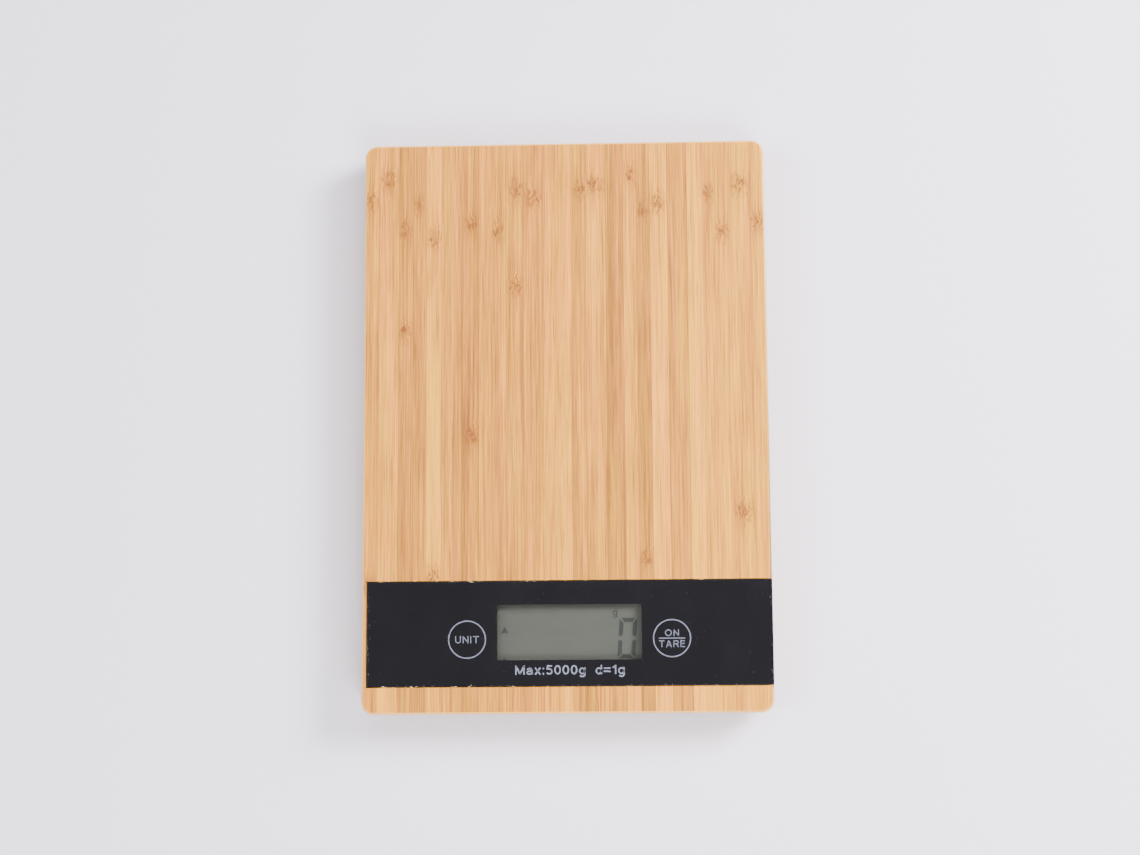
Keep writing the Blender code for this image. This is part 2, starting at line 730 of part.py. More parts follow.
def load_cells():
    """A square steel plate whose middle tongue is free on three sides, made once for all four corners."""
    half = load_cell_size / 2
    plate = box("load cell", (-half, -half, load_cell_bottom), (half, half, load_cell_top), None, steel,
                corner_radius=0.0015)
    tongue = cell_tongue_width / 2
    slot = tongue + tongue_slot
    free_end = half - cell_frame_width
    root = -free_end
    prism("tongue cutter", [
        (-slot, root), (-tongue, root), (-tongue, free_end - tongue_slot), (tongue, free_end - tongue_slot),
        (tongue, root), (slot, root), (slot, free_end), (-slot, free_end),
    ], load_cell_bottom - 0.001, load_cell_top + 0.001, cutters)
    boolean(plate, "DIFFERENCE", bpy.data.objects["tongue cutter"])
    copies(plate, {f"load_cell_{c}": (x, y, 0.0, turn_of(x)) for c, (x, y) in foot_places.items()})
    coat_middle = root + coat_length / 2 + tongue_slot
    coat = box("gauge coat", (-coat_width / 2, coat_middle - coat_length / 2, coat_bottom),
               (coat_width / 2, coat_middle + coat_length / 2, coat_top), None, white_silicone,
               edge_radius=0.0002, corner_radius=0.0015)
    copies(coat, {f"gauge_coat_{c}": (x, y, 0.0, turn_of(x)) for c, (x, y) in foot_places.items()})


def turn_of(x):
    """The pieces at a foot are made for the right-hand side, and turned half round on the left."""
    return 0.0 if x > 0 else math.pi


def load_cell_carriers():
    """A seat above the load cell, with a rim around it, a recess over the tongue and a notch for the lead."""
    half = carrier_size / 2
    carrier = box("carrier", (-half, -half, load_cell_bottom - gap), (half, half, carrier_top), None,
                  white_plastic, corner_radius=0.0018)
    inner = load_cell_size / 2 + gap
    recess = load_cell_size / 2 - cell_frame_width
    hollows = collection_named("carrier cutters", cutters, hidden=True)
    box("cell seat", (-inner, -inner, load_cell_bottom - 0.002), (inner, inner, carrier_ledge), hollows)
    box("tongue room", (-recess, -recess, load_cell_top), (recess, recess, carrier_recess_roof), hollows)
    for sign in (-1, 1):
        middle = sign * lead_from_foot_centre
        box(f"lead notch {sign}", (-half - 0.001, middle - lead_diameter / 2 - gap, load_cell_bottom - 0.003),
            (-inner + 0.001, middle + lead_diameter / 2 + gap, channel_roof - gap), hollows)
    boolean(carrier, "DIFFERENCE", hollows)
    copies(carrier, {f"load_cell_carrier_{c}": (x, y, 0.0, turn_of(x)) for c, (x, y) in foot_places.items()})


def load_cell_leads():
    """Each runs from the inner edge of its load cell to the nearest edge of the circuit board."""
    end_height = (main_board_top + main_board_bottom) / 2
    for corner, (x, y) in foot_places.items():
        side = math.copysign(1.0, x)
        lead_y = y - math.copysign(lead_from_foot_centre, y)
        start = side * (foot_x - load_cell_size / 2 - gap)
        if y < 0:
            edge = panel_x + side * (main_board_width / 2 + gap)
            points = [(start, lead_y, lead_height), (start - side * lead_bend, lead_y, lead_height),
                      (edge + side * lead_bend, lead_y, end_height), (edge, lead_y, end_height)]
            bend = lead_bend / 2
        else:
            lane = side * channel_x
            points = [(start, lead_y, lead_height), (lane, lead_y, lead_height),
                      (lane, main_board_back + 4 * lead_bend, lead_height),
                      (lane, main_board_back + lead_bend, end_height),
                      (lane, main_board_back + gap, end_height)]
            bend = lead_bend * 0.6
        wire(f"load_cell_lead_{corner}", rounded_route(points, bend), lead_diameter, grey_wire)


def feet():
    """A moulded cup that passes through the cover and presses on the load cell, with a rubber sole let in."""
    recess = pad_radius + gap
    bottom = pad_proud
    inner = cup_radius - cup_wall * 0.8
    post = post_diameter / 2
    cup = turned("cup", [
        (0.0, load_cell_bottom - gap), (post, load_cell_bottom - gap), (post, cup_floor), (inner, cup_floor),
        (inner, flange_top), (flange_radius, flange_top), (flange_radius, flange_bottom),
        (cup_radius, flange_bottom), (cup_radius, bottom), (recess, bottom), (recess, pad_recess_roof),
        (0.0, pad_recess_roof),
    ], None, black_plastic)
    copies(cup, {f"foot_cup_{c}": (x, y, 0.0, 0.0) for c, (x, y) in foot_places.items()})
    rim = 0.0004
    pad = turned("pad", [
        (0.0, pad_thickness), (pad_radius, pad_thickness), (pad_radius, rim), (pad_radius - rim, 0.0),
        (0.0, 0.0),
    ], None, foot_rubber)
    copies(pad, {f"foot_pad_{c}": (x, y, 0.0, 0.0) for c, (x, y) in foot_places.items()})


clear_scene()
parts = collection_named("kitchen_scale", bpy.context.scene.collection)
cutters = collection_named("cutters", bpy.context.scene.collection, hidden=True)

bamboo = material_named("bamboo", (0.75, 0.50, 0.28), 0.5)
black_acrylic = material_named("black acrylic", (0.02, 0.02, 0.024), 0.3)
black_tape = material_named("black tape", (0.015, 0.015, 0.015), 0.8)
lcd_glass = material_named("lcd glass", (0.21, 0.23, 0.20), 0.25)
zebra_rubber = material_named("zebra rubber", (0.08, 0.08, 0.08), 0.7)
white_plastic = material_named("white plastic", (0.75, 0.75, 0.73), 0.45)
circuit_board = material_named("circuit board", (0.03, 0.20, 0.08), 0.4)
epoxy = material_named("epoxy", (0.02, 0.02, 0.02), 0.25)
black_plastic = material_named("black plastic", (0.03, 0.03, 0.032), 0.5)
steel = material_named("steel", (0.60, 0.60, 0.60), 0.35, 1.0)
nickel = material_named("nickel", (0.65, 0.63, 0.58), 0.3, 1.0)
battery_wrap = material_named("battery wrap", (0.35, 0.36, 0.38), 0.35, 0.5)
white_silicone = material_named("white silicone", (0.85, 0.85, 0.83), 0.6)
red_wire = material_named("red wire", (0.55, 0.03, 0.03), 0.5)
black_wire = material_named("black wire", (0.02, 0.02, 0.02), 0.5)
grey_wire = material_named("grey wire", (0.45, 0.45, 0.45), 0.5)
foot_rubber = material_named("foot rubber", (0.10, 0.10, 0.10), 0.8)

bamboo_board()
display_panel()
display()
lcd_holder()
main_board()
touch_springs()
screws("board_screw", board_screw_shank, board_screw_head, board_screw_seat, board_screw_tip,
       board_screw_places())
bottom_cover()
screws("cover_screw", cover_screw_shank, cover_screw_head, cover_screw_seat, cover_screw_tip,
       cover_screw_places())
battery_cover()
batteries()
battery_contacts()
battery_leads()
load_cells()
load_cell_carriers()
load_cell_leads()
feet()
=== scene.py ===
import math

import bmesh
import bpy
from mathutils import Matrix, Vector


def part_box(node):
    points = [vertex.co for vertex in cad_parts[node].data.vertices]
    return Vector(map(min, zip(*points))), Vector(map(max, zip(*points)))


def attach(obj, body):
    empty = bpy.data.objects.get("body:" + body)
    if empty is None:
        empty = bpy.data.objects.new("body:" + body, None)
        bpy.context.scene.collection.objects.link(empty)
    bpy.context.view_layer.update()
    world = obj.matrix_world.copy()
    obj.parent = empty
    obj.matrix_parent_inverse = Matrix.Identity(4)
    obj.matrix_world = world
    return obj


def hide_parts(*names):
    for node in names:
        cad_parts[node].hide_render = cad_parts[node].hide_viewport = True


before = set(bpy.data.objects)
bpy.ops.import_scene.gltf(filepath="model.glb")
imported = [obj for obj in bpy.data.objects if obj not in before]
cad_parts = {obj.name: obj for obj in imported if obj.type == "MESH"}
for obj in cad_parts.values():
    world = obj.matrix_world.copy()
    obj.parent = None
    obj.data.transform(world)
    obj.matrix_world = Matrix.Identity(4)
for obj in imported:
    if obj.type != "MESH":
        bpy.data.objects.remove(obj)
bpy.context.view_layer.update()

mm = 0.001
scene = bpy.context.scene


# helpers for node trees and meshes

def put(tree, kind, sockets=None, **settings):
    # adds a node, sets its options, and fills its sockets by value or by link
    node = tree.nodes.new(kind)
    for key, value in settings.items():
        setattr(node, key, value)
    for key, value in (sockets or {}).items():
        if isinstance(value, bpy.types.NodeSocket):
            tree.links.new(value, node.inputs[key])
        else:
            node.inputs[key].default_value = value
    return node


def maths(tree, operation, *values, clamp=False):
    node = put(tree, "ShaderNodeMath", dict(enumerate(values)), operation=operation)
    node.use_clamp = clamp
    return node.outputs[0]


def plus(tree, first, second, clamp=False):
    return maths(tree, "ADD", first, second, clamp=clamp)


def minus(tree, first, second):
    return maths(tree, "SUBTRACT", first, second)


def times(tree, first, second):
    return maths(tree, "MULTIPLY", first, second)


def scaled(colour, factor):
    return tuple(c * factor for c in colour)


def parts(tree, vector):
    return put(tree, "ShaderNodeSeparateXYZ", {0: vector}).outputs


def vectorOf(tree, x=0.0, y=0.0, z=0.0):
    return put(tree, "ShaderNodeCombineXYZ", {0: x, 1: y, 2: z}).outputs[0]


def surfaced(tree, shader, colour, roughness):
    tree.links.new(colour, shader.inputs["Base Color"])
    tree.links.new(roughness, shader.inputs["Roughness"])


def noise(tree, vector, scale, detail=3.0, roughness=0.5):
    sockets = {"Vector": vector, "Scale": scale, "Detail": detail, "Roughness": roughness}
    return put(tree, "ShaderNodeTexNoise", sockets).outputs[0]


def stretched(tree, vector, scale):
    return put(tree, "ShaderNodeMapping", {"Vector": vector, "Scale": scale}).outputs[0]


def span(tree, value, fromLow, fromHigh, toLow=0.0, toHigh=1.0):
    sockets = {0: value, 1: fromLow, 2: fromHigh, 3: toLow, 4: toHigh}
    return put(tree, "ShaderNodeMapRange", sockets).outputs[0]


def blended(tree, factor, first, second, blend="MIX"):
    # a mix of two colours, each a socket or three numbers
    first, second = [(*c, 1.0) if isinstance(c, tuple) else c for c in (first, second)]
    return put(tree, "ShaderNodeMix", {0: factor, 6: first, 7: second}, data_type="RGBA",
               blend_type=blend).outputs[2]


def ramped(tree, factor, stops):
    node = put(tree, "ShaderNodeValToRGB", {"Fac": factor})
    ramp = node.color_ramp
    while len(ramp.elements) < len(stops):
        ramp.elements.new(0.5)
    for element, (place, colour) in zip(ramp.elements, stops):
        element.position = place
        element.color = (*colour, 1.0)
    return node.outputs[0]


def newMaterial(name):
    # a Principled material with its Object coordinates ready
    material = bpy.data.materials.new(name)
    material.use_nodes = True
    tree = material.node_tree
    shader = tree.nodes["Principled BSDF"]
    coords = put(tree, "ShaderNodeTexCoord").outputs["Object"]
    return material, tree, shader, coords


def bumped(tree, shader, height, depth, strength=1.0):
    bump = put(tree, "ShaderNodeBump", {"Height": height, "Distance": depth, "Strength": strength})
    tree.links.new(bump.outputs[0], shader.inputs["Normal"])


def link(made):
    scene.collection.objects.link(made)
    return made


def meshObject(name, mesh, material=None):
    mesh.name = name
    if material:
        mesh.materials.clear()
        mesh.materials.append(material)
    return link(bpy.data.objects.new(name, mesh))


def fromBmesh(name, bm, material=None, sharpAngle=35):
    mesh = bpy.data.meshes.new(name)
    bmesh.ops.recalc_face_normals(bm, faces=bm.faces)
    bm.to_mesh(mesh)
    bm.free()
    mesh.shade_smooth()
    mesh.set_sharp_from_angle(angle=math.radians(sharpAngle))
    return meshObject(name, mesh, material)


def settled(made):
    # the object as its modifiers leave it, as a plain mesh under the same name
    graph = bpy.context.evaluated_depsgraph_get()
    mesh = bpy.data.meshes.new_from_object(made.evaluated_get(graph), depsgraph=graph)
    name = made.name
    materials = [slot.material for slot in made.material_slots]
    bpy.data.objects.remove(made, do_unlink=True)
    done = meshObject(name, mesh)
    if not mesh.materials:
        for material in materials:
            mesh.materials.append(material)
    return done


def evenShading(made):
    # large flat faces keep their own normal beside small rounded ones
    made.modifiers.new("even shading", "WEIGHTED_NORMAL").keep_sharp = True
    return settled(made)


def roundedEdges(made, width, segments=2, angle=40):
    bevel = made.modifiers.new("rounded edges", "BEVEL")
    bevel.width = width
    bevel.segments = segments
    bevel.limit_method = "ANGLE"
    bevel.angle_limit = math.radians(angle)
    bevel.harden_normals = False
    return evenShading(made)


def fromNode(name, node, material, edge=0.0, sharpAngle=35):
    # a merged copy of a CAD node, for a finer finish on the same shape
    bm = bmesh.new()
    bm.from_mesh(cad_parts[node].data)
    bmesh.ops.remove_doubles(bm, verts=bm.verts, dist=1e-6)
    bmesh.ops.dissolve_limit(bm, angle_limit=math.radians(0.4), verts=bm.verts, edges=bm.edges)
    made = fromBmesh(name, bm, material, sharpAngle)
    return roundedEdges(made, edge) if edge else evenShading(made)


def turnedPiece(name, profile, material, steps=96, sharpAngle=35):
    # a profile of (radius, height) points turned about Z; it starts and ends on the axis
    bm = bmesh.new()
    rings = []
    for radius, height in profile:
        if radius < 1e-9:
            rings.append([bm.verts.new((0.0, 0.0, height))])
        else:
            turn = [2 * math.pi * i / steps for i in range(steps)]
            rings.append([bm.verts.new((radius * math.cos(a), radius * math.sin(a), height)) for a in turn])
    for upper, lower in zip(rings, rings[1:]):
        for i in range(steps):
            j = (i + 1) % steps
            corners = [upper[i % len(upper)], upper[j % len(upper)], lower[j % len(lower)],
                       lower[i % len(lower)]]
            bm.faces.new(list(dict.fromkeys(corners)))
    return fromBmesh(name, bm, material, sharpAngle)


def arc(centreR, centreZ, radius, start, end, steps=5):
    # points of a rounded edge in a turned profile, angles in degrees
    turn = [math.radians(start + (end - start) * i / steps) for i in range(steps + 1)]
    return [(centreR + radius * math.cos(a), centreZ + radius * math.sin(a)) for a in turn]


def boxMesh(bm, low, high):
    size = Vector(high) - Vector(low)
    place = Matrix.Translation((Vector(low) + Vector(high)) / 2) @ Matrix.Diagonal(size).to_4x4()
    return bmesh.ops.create_cube(bm, size=1.0, matrix=place)["verts"]


def flatShape(bm, outline, low, high):
    # a closed outline of (x, y) points as a thin plate
    lower = [bm.verts.new((x, y, low)) for x, y in outline]
    upper = [bm.verts.new((x, y, high)) for x, y in outline]
    bm.faces.new(lower[::-1])
    bm.faces.new(upper)
    for i in range(len(outline)):
        j = (i + 1) % len(outline)
        bm.faces.new((lower[i], lower[j], upper[j], upper[i]))


def placed(made, x=0.0, y=0.0, z=0.0, turn=None):
    # puts the place and turn into the mesh, so that the object stays at the origin
    made.data.transform(Matrix.Translation((x, y, z)) @ (turn or Matrix.Identity(4)))
    return made


def copyOf(name, made):
    return link(bpy.data.objects.new(name, made.data.copy()))


def finish(made, body, stands=()):
    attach(made, body)
    if stands:
        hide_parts(*stands)
    return made


def boxOf(node):
    return [Vector(c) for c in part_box(node)]


def middleOf(node):
    low, high = boxOf(node)
    return (low + high) / 2


def sideOf(corner):
    return "".join(word.capitalize() for word in corner.split("_"))


def nodeTree(name, inputs):
    # an empty Geometry Nodes tree with named inputs, and its group input and output nodes
    tree = bpy.data.node_groups.new(name, "GeometryNodeTree")
    tree.interface.new_socket("Geometry", in_out="INPUT", socket_type="NodeSocketGeometry")
    kinds = {float: "NodeSocketFloat", int: "NodeSocketInt", type(None): "NodeSocketObject"}
    for label, value in inputs.items():
        socket = tree.interface.new_socket(label, in_out="INPUT", socket_type=kinds[type(value)])
        if value is not None:
            socket.default_value = value
    tree.interface.new_socket("Geometry", in_out="OUTPUT", socket_type="NodeSocketGeometry")
    return tree, tree.nodes.new("NodeGroupInput").outputs, tree.nodes.new("NodeGroupOutput").inputs


def grownOn(made, tree, values):
    # runs a Geometry Nodes tree on an object and keeps its result as a plain mesh
    modifier = made.modifiers.new(tree.name, "NODES")
    modifier.node_group = tree
    for item in tree.interface.items_tree:
        if item.in_out == "INPUT" and item.name in values:
            modifier[item.identifier] = values[item.name]
    return settled(made)


def grown(name, tree, values, points=()):
    # runs a Geometry Nodes tree over some points and keeps its result as a plain mesh
    mesh = bpy.data.meshes.new(name)
    mesh.from_pydata([tuple(p) for p in points], [], [])
    made = link(bpy.data.objects.new(name, mesh))
    return grownOn(made, tree, values)


def endTree(tree, geometry, material, output):
    realised = put(tree, "GeometryNodeRealizeInstances", {"Geometry": geometry})
    painted = put(tree, "GeometryNodeSetMaterial", {"Geometry": realised.outputs[0], "Material": material})
    tree.links.new(painted.outputs[0], output[0])


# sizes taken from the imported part

boardLow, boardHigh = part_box("bamboo_board")
panelLow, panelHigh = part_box("display_panel")
lcdLow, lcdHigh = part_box("lcd_cell")
boardTop = boardHigh[2]
panelMiddle = middleOf("display_panel")
lcdMiddle = middleOf("lcd_cell")
unitPlace = middleOf("touch_spring_unit")
tarePlace = middleOf("touch_spring_tare")
corners = ("front_left", "front_right", "back_left", "back_right")
footPlaces = {corner: middleOf(f"foot_cup_{corner}") for corner in corners}


# camera, floor and light

cameraLook = {"place": (0.0287, -0.1149, 0.8092), "turn": (8.1226, 2.0025, -0.3705), "lens": 63.16}
roomLook = {
    "floorSize": 12.0, "floorColour": (0.87, 0.83, 0.94),
    "wall": (1.30, 1.30, 1.36), "ceiling": (0.13, 0.13, 0.14),
    "lamps": {  # name: place, size, power
        "softboxRight": ((0.90, 0.44, 0.78), 0.62, 44.0),
        "softboxLeft": ((-2.85, -0.46, 3.08), 2.5, 152.0),
        "softboxFront": ((0.35, -0.86, 1.04), 0.8, 25.0),
        "softboxBack": ((-0.23, 2.17, 3.42), 2.05, 64.0),
    },
}


def cameraAndRoom():
    camera = bpy.data.cameras.new("camera")
    camera.lens = cameraLook["lens"]
    camera.sensor_width = 36.0
    camera.clip_start = 0.01
    stand = link(bpy.data.objects.new("camera", camera))
    stand.location = cameraLook["place"]
    stand.rotation_euler = [math.radians(a) for a in cameraLook["turn"]]
    scene.camera = stand

    material, tree, shader, coords = newMaterial("paleFloor")
    cloud = noise(tree, coords, 3.0, 2.0)
    tint = roomLook["floorColour"]
    shade = scaled(tint, 0.985)
    tree.links.new(blended(tree, cloud, shade, tint), shader.inputs["Base Color"])
    shader.inputs["Roughness"].default_value = 0.75
    bm = bmesh.new()
    bmesh.ops.create_grid(bm, x_segments=8, y_segments=8, size=roomLook["floorSize"] / 2)
    fromBmesh("floor", bm, material)

    world = bpy.data.worlds.new("air")
    world.use_nodes = True
    # pale walls all round and a dim ceiling
    tree = world.node_tree
    outward = put(tree, "ShaderNodeTexCoord").outputs["Generated"]
    rise = span(tree, parts(tree, outward)[2], 0.06, 0.36)
    shade = blended(tree, rise, roomLook["wall"], roomLook["ceiling"])
    tree.links.new(shade, tree.nodes["Background"].inputs[0])
    scene.world = world

    for name, (place, size, power) in roomLook["lamps"].items():
        lamp = bpy.data.lights.new(name, "AREA")
        lamp.shape = "DISK"
        lamp.size = size
        lamp.energy = power
        hung = link(bpy.data.objects.new(name, lamp))
        hung.location = place
        hung.rotation_euler = (-Vector(place)).to_track_quat("-Z", "Y").to_euler()


cameraAndRoom()
print("camera, floor and light are in place")


# bamboo board

boardLook = {
    "stripCount": 25, "wander": 1.1 * mm, "wanderPitch": 29.3 * mm, "balance": 0.42,
    "light": (0.85, 0.358, 0.028), "middle": (0.59, 0.230, 0.0195), "dark": (0.245, 0.084, 0.0095),
    # the pale edge colour at the end of the next line is a painted highlight for the eased edges
    "knot": (0.240, 0.072, 0.009), "joint": (0.27, 0.088, 0.012), "sanded": (0.95, 0.52, 0.14),
    "torn": ((0.95, 0.72, 0.42), (0.88, 0.52, 0.20)),
    # knots by chance: a loose row near the back and some anywhere, as seed, from and to along Y, and share
    # of the strips that have one
    "knotRows": [(41.0, 76 * mm, 104 * mm, 0.5), (7.0, -114 * mm, 70 * mm, 0.5)],
}


def bambooMaterial():
    look = boardLook
    material, tree, shader, coords = newMaterial("bamboo")
    x, y, z = parts(tree, coords)
    width = boardHigh[0] - boardLow[0]
    count = look["stripCount"]
    pitch = width / count

    # strips of uneven width: the way across wanders a little before it is cut into strips
    wave = maths(tree, "SINE", times(tree, x, 2 * math.pi / look["wanderPitch"]))
    across = maths(tree, "DIVIDE", maths(tree, "MULTIPLY_ADD", wave, look["wander"], x), pitch)
    across = plus(tree, across, count / 2)
    strip = maths(tree, "FLOOR", across)
    within = maths(tree, "FRACT", across)
    chance = put(tree, "ShaderNodeTexWhiteNoise", {"W": strip}, noise_dimensions="1D").outputs
    tone = chance["Value"]
    lineChance, _, knotChance = put(tree, "ShaderNodeSeparateColor", {0: chance["Color"]}).outputs

    # how far the nearest knot of this strip is, along Y and across the strip
    distances = []
    for seed, first, last, share in look["knotRows"]:
        draw = put(tree, "ShaderNodeTexWhiteNoise", {"W": plus(tree, strip, seed)},
                   noise_dimensions="1D").outputs["Color"]
        _, where, has = put(tree, "ShaderNodeSeparateColor", {0: draw}).outputs
        gap = maths(tree, "ABSOLUTE", minus(tree, y, span(tree, where, 0.0, 1.0, first, last)))
        # a strip without a knot has it a metre away
        distances.append(plus(tree, gap, maths(tree, "GREATER_THAN", has, share)))
    near = maths(tree, "MINIMUM", *distances)
    offCentre = plus(tree, minus(tree, within, 0.5), span(tree, knotChance, 0.0, 1.0, -0.16, 0.16))
    offCentre = times(tree, offCentre, pitch)

    def fading(alongReach, acrossReach):
        total = None
        for distance, reach in ((near, alongReach), (offCentre, acrossReach)):
            ratio = maths(tree, "DIVIDE", distance, reach)
            square = times(tree, ratio, ratio)
            total = plus(tree, total, square) if total else square
        return maths(tree, "EXPONENT", times(tree, total, -1.0))

    heart = fading(2.7 * mm, 2.4 * mm)
    patch = fading(5.0 * mm, 3.6 * mm)
    tail = fading(12.0 * mm, 2.6 * mm)

    # the fibres bend round a knot, and every strip has its own
    bend = minus(tree, noise(tree, coords, 330.0, 2.0), 0.5)
    bend = times(tree, times(tree, bend, patch), 5.0 * mm)
    sideways = plus(tree, plus(tree, x, bend), times(tree, strip, 0.013))
    drift = plus(tree, y, times(tree, strip, 0.071))
    grain = vectorOf(tree, sideways, drift, z)
    bands = noise(tree, stretched(tree, grain, (290.0, 6.0, 290.0)), 1.0, 3.0, 0.68)
    streaks = noise(tree, stretched(tree, grain, (1050.0, 13.0, 1050.0)), 1.0, 4.0, 0.74)
    fibres = noise(tree, stretched(tree, grain, (2300.0, 48.0, 2300.0)), 1.0, 3.0, 0.6)
    claws = noise(tree, stretched(tree, grain, (1250.0, 340.0, 1250.0)), 1.0, 2.0, 0.55)
    clouds = noise(tree, stretched(tree, grain, (55.0, 11.0, 55.0)), 1.0, 2.0)
    hues = noise(tree, stretched(tree, grain, (420.0, 13.0, 420.0)), 1.0, 2.0)

    mixed = maths(tree, "MULTIPLY_ADD", tone, 0.46, -0.23)
    for part, weight in ((bands, 0.95), (streaks, 1.85), (fibres, 1.05), (clouds, 0.45)):
        mixed = plus(tree, mixed, maths(tree, "MULTIPLY_ADD", part, weight, -weight / 2))
    tint = plus(tree, mixed, look["balance"], clamp=True)
    colour = ramped(tree, tint, [(0.0, look["light"]), (0.42, look["middle"]), (1.0, look["dark"])])

    # some fibres lean to pink and some to yellow
    lean = blended(tree, span(tree, hues, 0.32, 0.68), (1.04, 0.94, 1.30), (0.96, 1.05, 0.72))
    colour = blended(tree, 1.0, colour, lean, "MULTIPLY")

    # a thin line where two strips meet, stronger at some joints, and thin dark vessels
    edge = maths(tree, "MINIMUM", within, minus(tree, 1.0, within))
    line = times(tree, span(tree, edge, 0.014, 0.036, 1.0, 0.0),
                 span(tree, lineChance, 0.15, 0.85, 0.15, 1.0))
    line = times(tree, line, span(tree, clouds, 0.35, 0.6, 0.55, 1.0))
    colour = blended(tree, line, colour, look["joint"])
    vessels = times(tree, span(tree, fibres, 0.56, 0.68), span(tree, bands, 0.40, 0.62, 0.16, 0.70))
    colour = blended(tree, vessels, colour, look["joint"])

    # the knots: a warm patch, dark claw marks in it, and streaks that run out of it
    claw = span(tree, claws, 0.50, 0.60)
    mark = times(tree, patch, span(tree, claw, 0.0, 1.0, 0.22, 0.80))
    darkest = times(tree, heart, span(tree, claw, 0.0, 1.0, 0.20, 0.60))
    mark = plus(tree, mark, darkest)
    mark = plus(tree, mark, times(tree, tail, span(tree, streaks, 0.48, 0.64, 0.0, 0.50)), clamp=True)
    colour = blended(tree, mark, colour, look["knot"])

    # painted highlight: the eased edges, and the top of the walls round the board and its recess, are
    # painted paler as if they caught the light
    normal = put(tree, "ShaderNodeNewGeometry").outputs["Normal"]
    normalZ = parts(tree, normal)[2]
    turned = span(tree, normalZ, 0.93, 0.995, 1.0, 0.0)
    lip = maths(tree, "MAXIMUM", span(tree, normalZ, -0.1, 0.4),
                span(tree, z, boardTop - 1.5 * mm, boardTop - mm))
    paintedHighlight = times(tree, turned, lip)
    colour = blended(tree, times(tree, paintedHighlight, 0.75), colour, look["sanded"])

    surfaced(tree, shader, colour, span(tree, streaks, 0.3, 0.7, 0.44, 0.60))
    shader.inputs["Specular IOR Level"].default_value = 0.30
    bumped(tree, shader, plus(tree, fibres, times(tree, mark, -0.6)), 0.04 * mm, 0.5)
    return material


splinterLook = {
    "count": 18, "length": (0.4 * mm, 1.3 * mm), "width": 0.16 * mm, "height": 0.08 * mm, "seed": 11,
}


def splinterTree(material):
    # slivers of fibre that lie along the two cut edges of the panel's recess
    inputs = {
        "Sliver Count": 100, "Run": 0.16, "Shortest": 0.001, "Longest": 0.002, "Width": 0.0002,
        "Height": 0.0001, "Seed": 1,
    }
    tree, given, output = nodeTree("edge splinters", inputs)
    scatter = put(tree, "GeometryNodeDuplicateElements", {"Geometry": given["Geometry"],
                                                         "Amount": given["Sliver Count"]}, domain="POINT")

    def chance(low, high, seedStep):
        seed = plus(tree, given["Seed"], seedStep)
        sockets = {2: low, 3: high, "Seed": seed, "ID": put(tree, "GeometryNodeInputIndex").outputs[0]}
        return put(tree, "FunctionNodeRandomValue", sockets, data_type="FLOAT").outputs[1]

    half = times(tree, given["Run"], 0.5)
    along = chance(times(tree, half, -1.0), half, 1)
    # more slivers stand near the left-hand end, where the cut is rougher
    crowd = maths(tree, "POWER", chance(0.0, 1.0, 2), 2.0)
    along = minus(tree, along, times(tree, crowd, plus(tree, along, half)))
    shift = put(tree, "ShaderNodeCombineXYZ", {0: along, 1: chance(-0.10 * mm, 0.22 * mm, 3)}).outputs[0]
    moved = put(tree, "GeometryNodeSetPosition", {"Geometry": scatter.outputs[0], "Offset": shift})
    sliver = put(tree, "GeometryNodeMeshCone", {
        "Vertices": 6, "Radius Top": 0.18, "Radius Bottom": 0.5, "Depth": 1.0, "Side Segments": 2})
    lying = put(tree, "GeometryNodeTransform", {"Geometry": sliver.outputs[0],
                                               "Rotation": (0.0, math.radians(90), 0.0)})
    size = vectorOf(tree, chance(given["Shortest"], given["Longest"], 4),
                    times(tree, given["Width"], chance(0.5, 1.7, 5)), given["Height"])
    turn = vectorOf(tree, z=chance(-0.55, 0.55, 6))
    spread = put(tree, "GeometryNodeInstanceOnPoints", {
        "Points": moved.outputs[0], "Instance": lying.outputs[0],
        "Rotation": put(tree, "FunctionNodeEulerToRotation", {0: turn}).outputs[0], "Scale": size})
    endTree(tree, spread.outputs[0], material, output)
    return tree


def fibreMaterial():
    # bare torn fibres, paler than the sanded face
    material, tree, shader, coords = newMaterial("tornFibre")
    streak = noise(tree, stretched(tree, coords, (700.0, 90.0, 700.0)), 1.0, 2.0)
    pale, warm = boardLook["torn"]
    surfaced(tree, shader, blended(tree, streak, pale, warm), span(tree, streak, 0.3, 0.7, 0.55, 0.75))
    return material


def bambooBoard():
    wood = bambooMaterial()
    board = fromNode("bambooBoard", "bamboo_board", wood, sharpAngle=30)
    finish(board, "platform", ["bamboo_board"])

    look = splinterLook
    middleX = panelMiddle.x
    lip = boardTop + look["height"] * 0.1
    edges = [(middleX, panelLow[1] - 0.12 * mm, lip), (middleX, panelHigh[1] + 0.05 * mm, lip)]
    values = {
        "Sliver Count": look["count"], "Run": (panelHigh[0] - panelLow[0]) * 0.985,
        "Shortest": look["length"][0], "Longest": look["length"][1], "Width": look["width"],
        "Height": look["height"], "Seed": look["seed"],
    }
    splinters = grown("edgeSplinters", splinterTree(fibreMaterial()), values, edges)
    finish(splinters, "platform")


bambooBoard()
print("bamboo board is made")


# display panel, its printing and the display behind it

panelLook = {
    "windowWidth": 57.0 * mm, "windowDepth": 21.8 * mm, "windowBehind": 0.45 * mm, "edge": 0.14 * mm,
    "colour": (0.0066, 0.0063, 0.0081), "haze": (0.0084, 0.0077, 0.0089), "dust": (0.080, 0.080, 0.088),
    "scuff": (0.10, 0.10, 0.105),
    "printColour": (0.158, 0.169, 0.237), "keyStrength": 0.78, "printHeight": 0.02 * mm,
}
windowMiddle = Vector((panelMiddle.x, panelMiddle.y + panelLook["windowBehind"], boardTop))


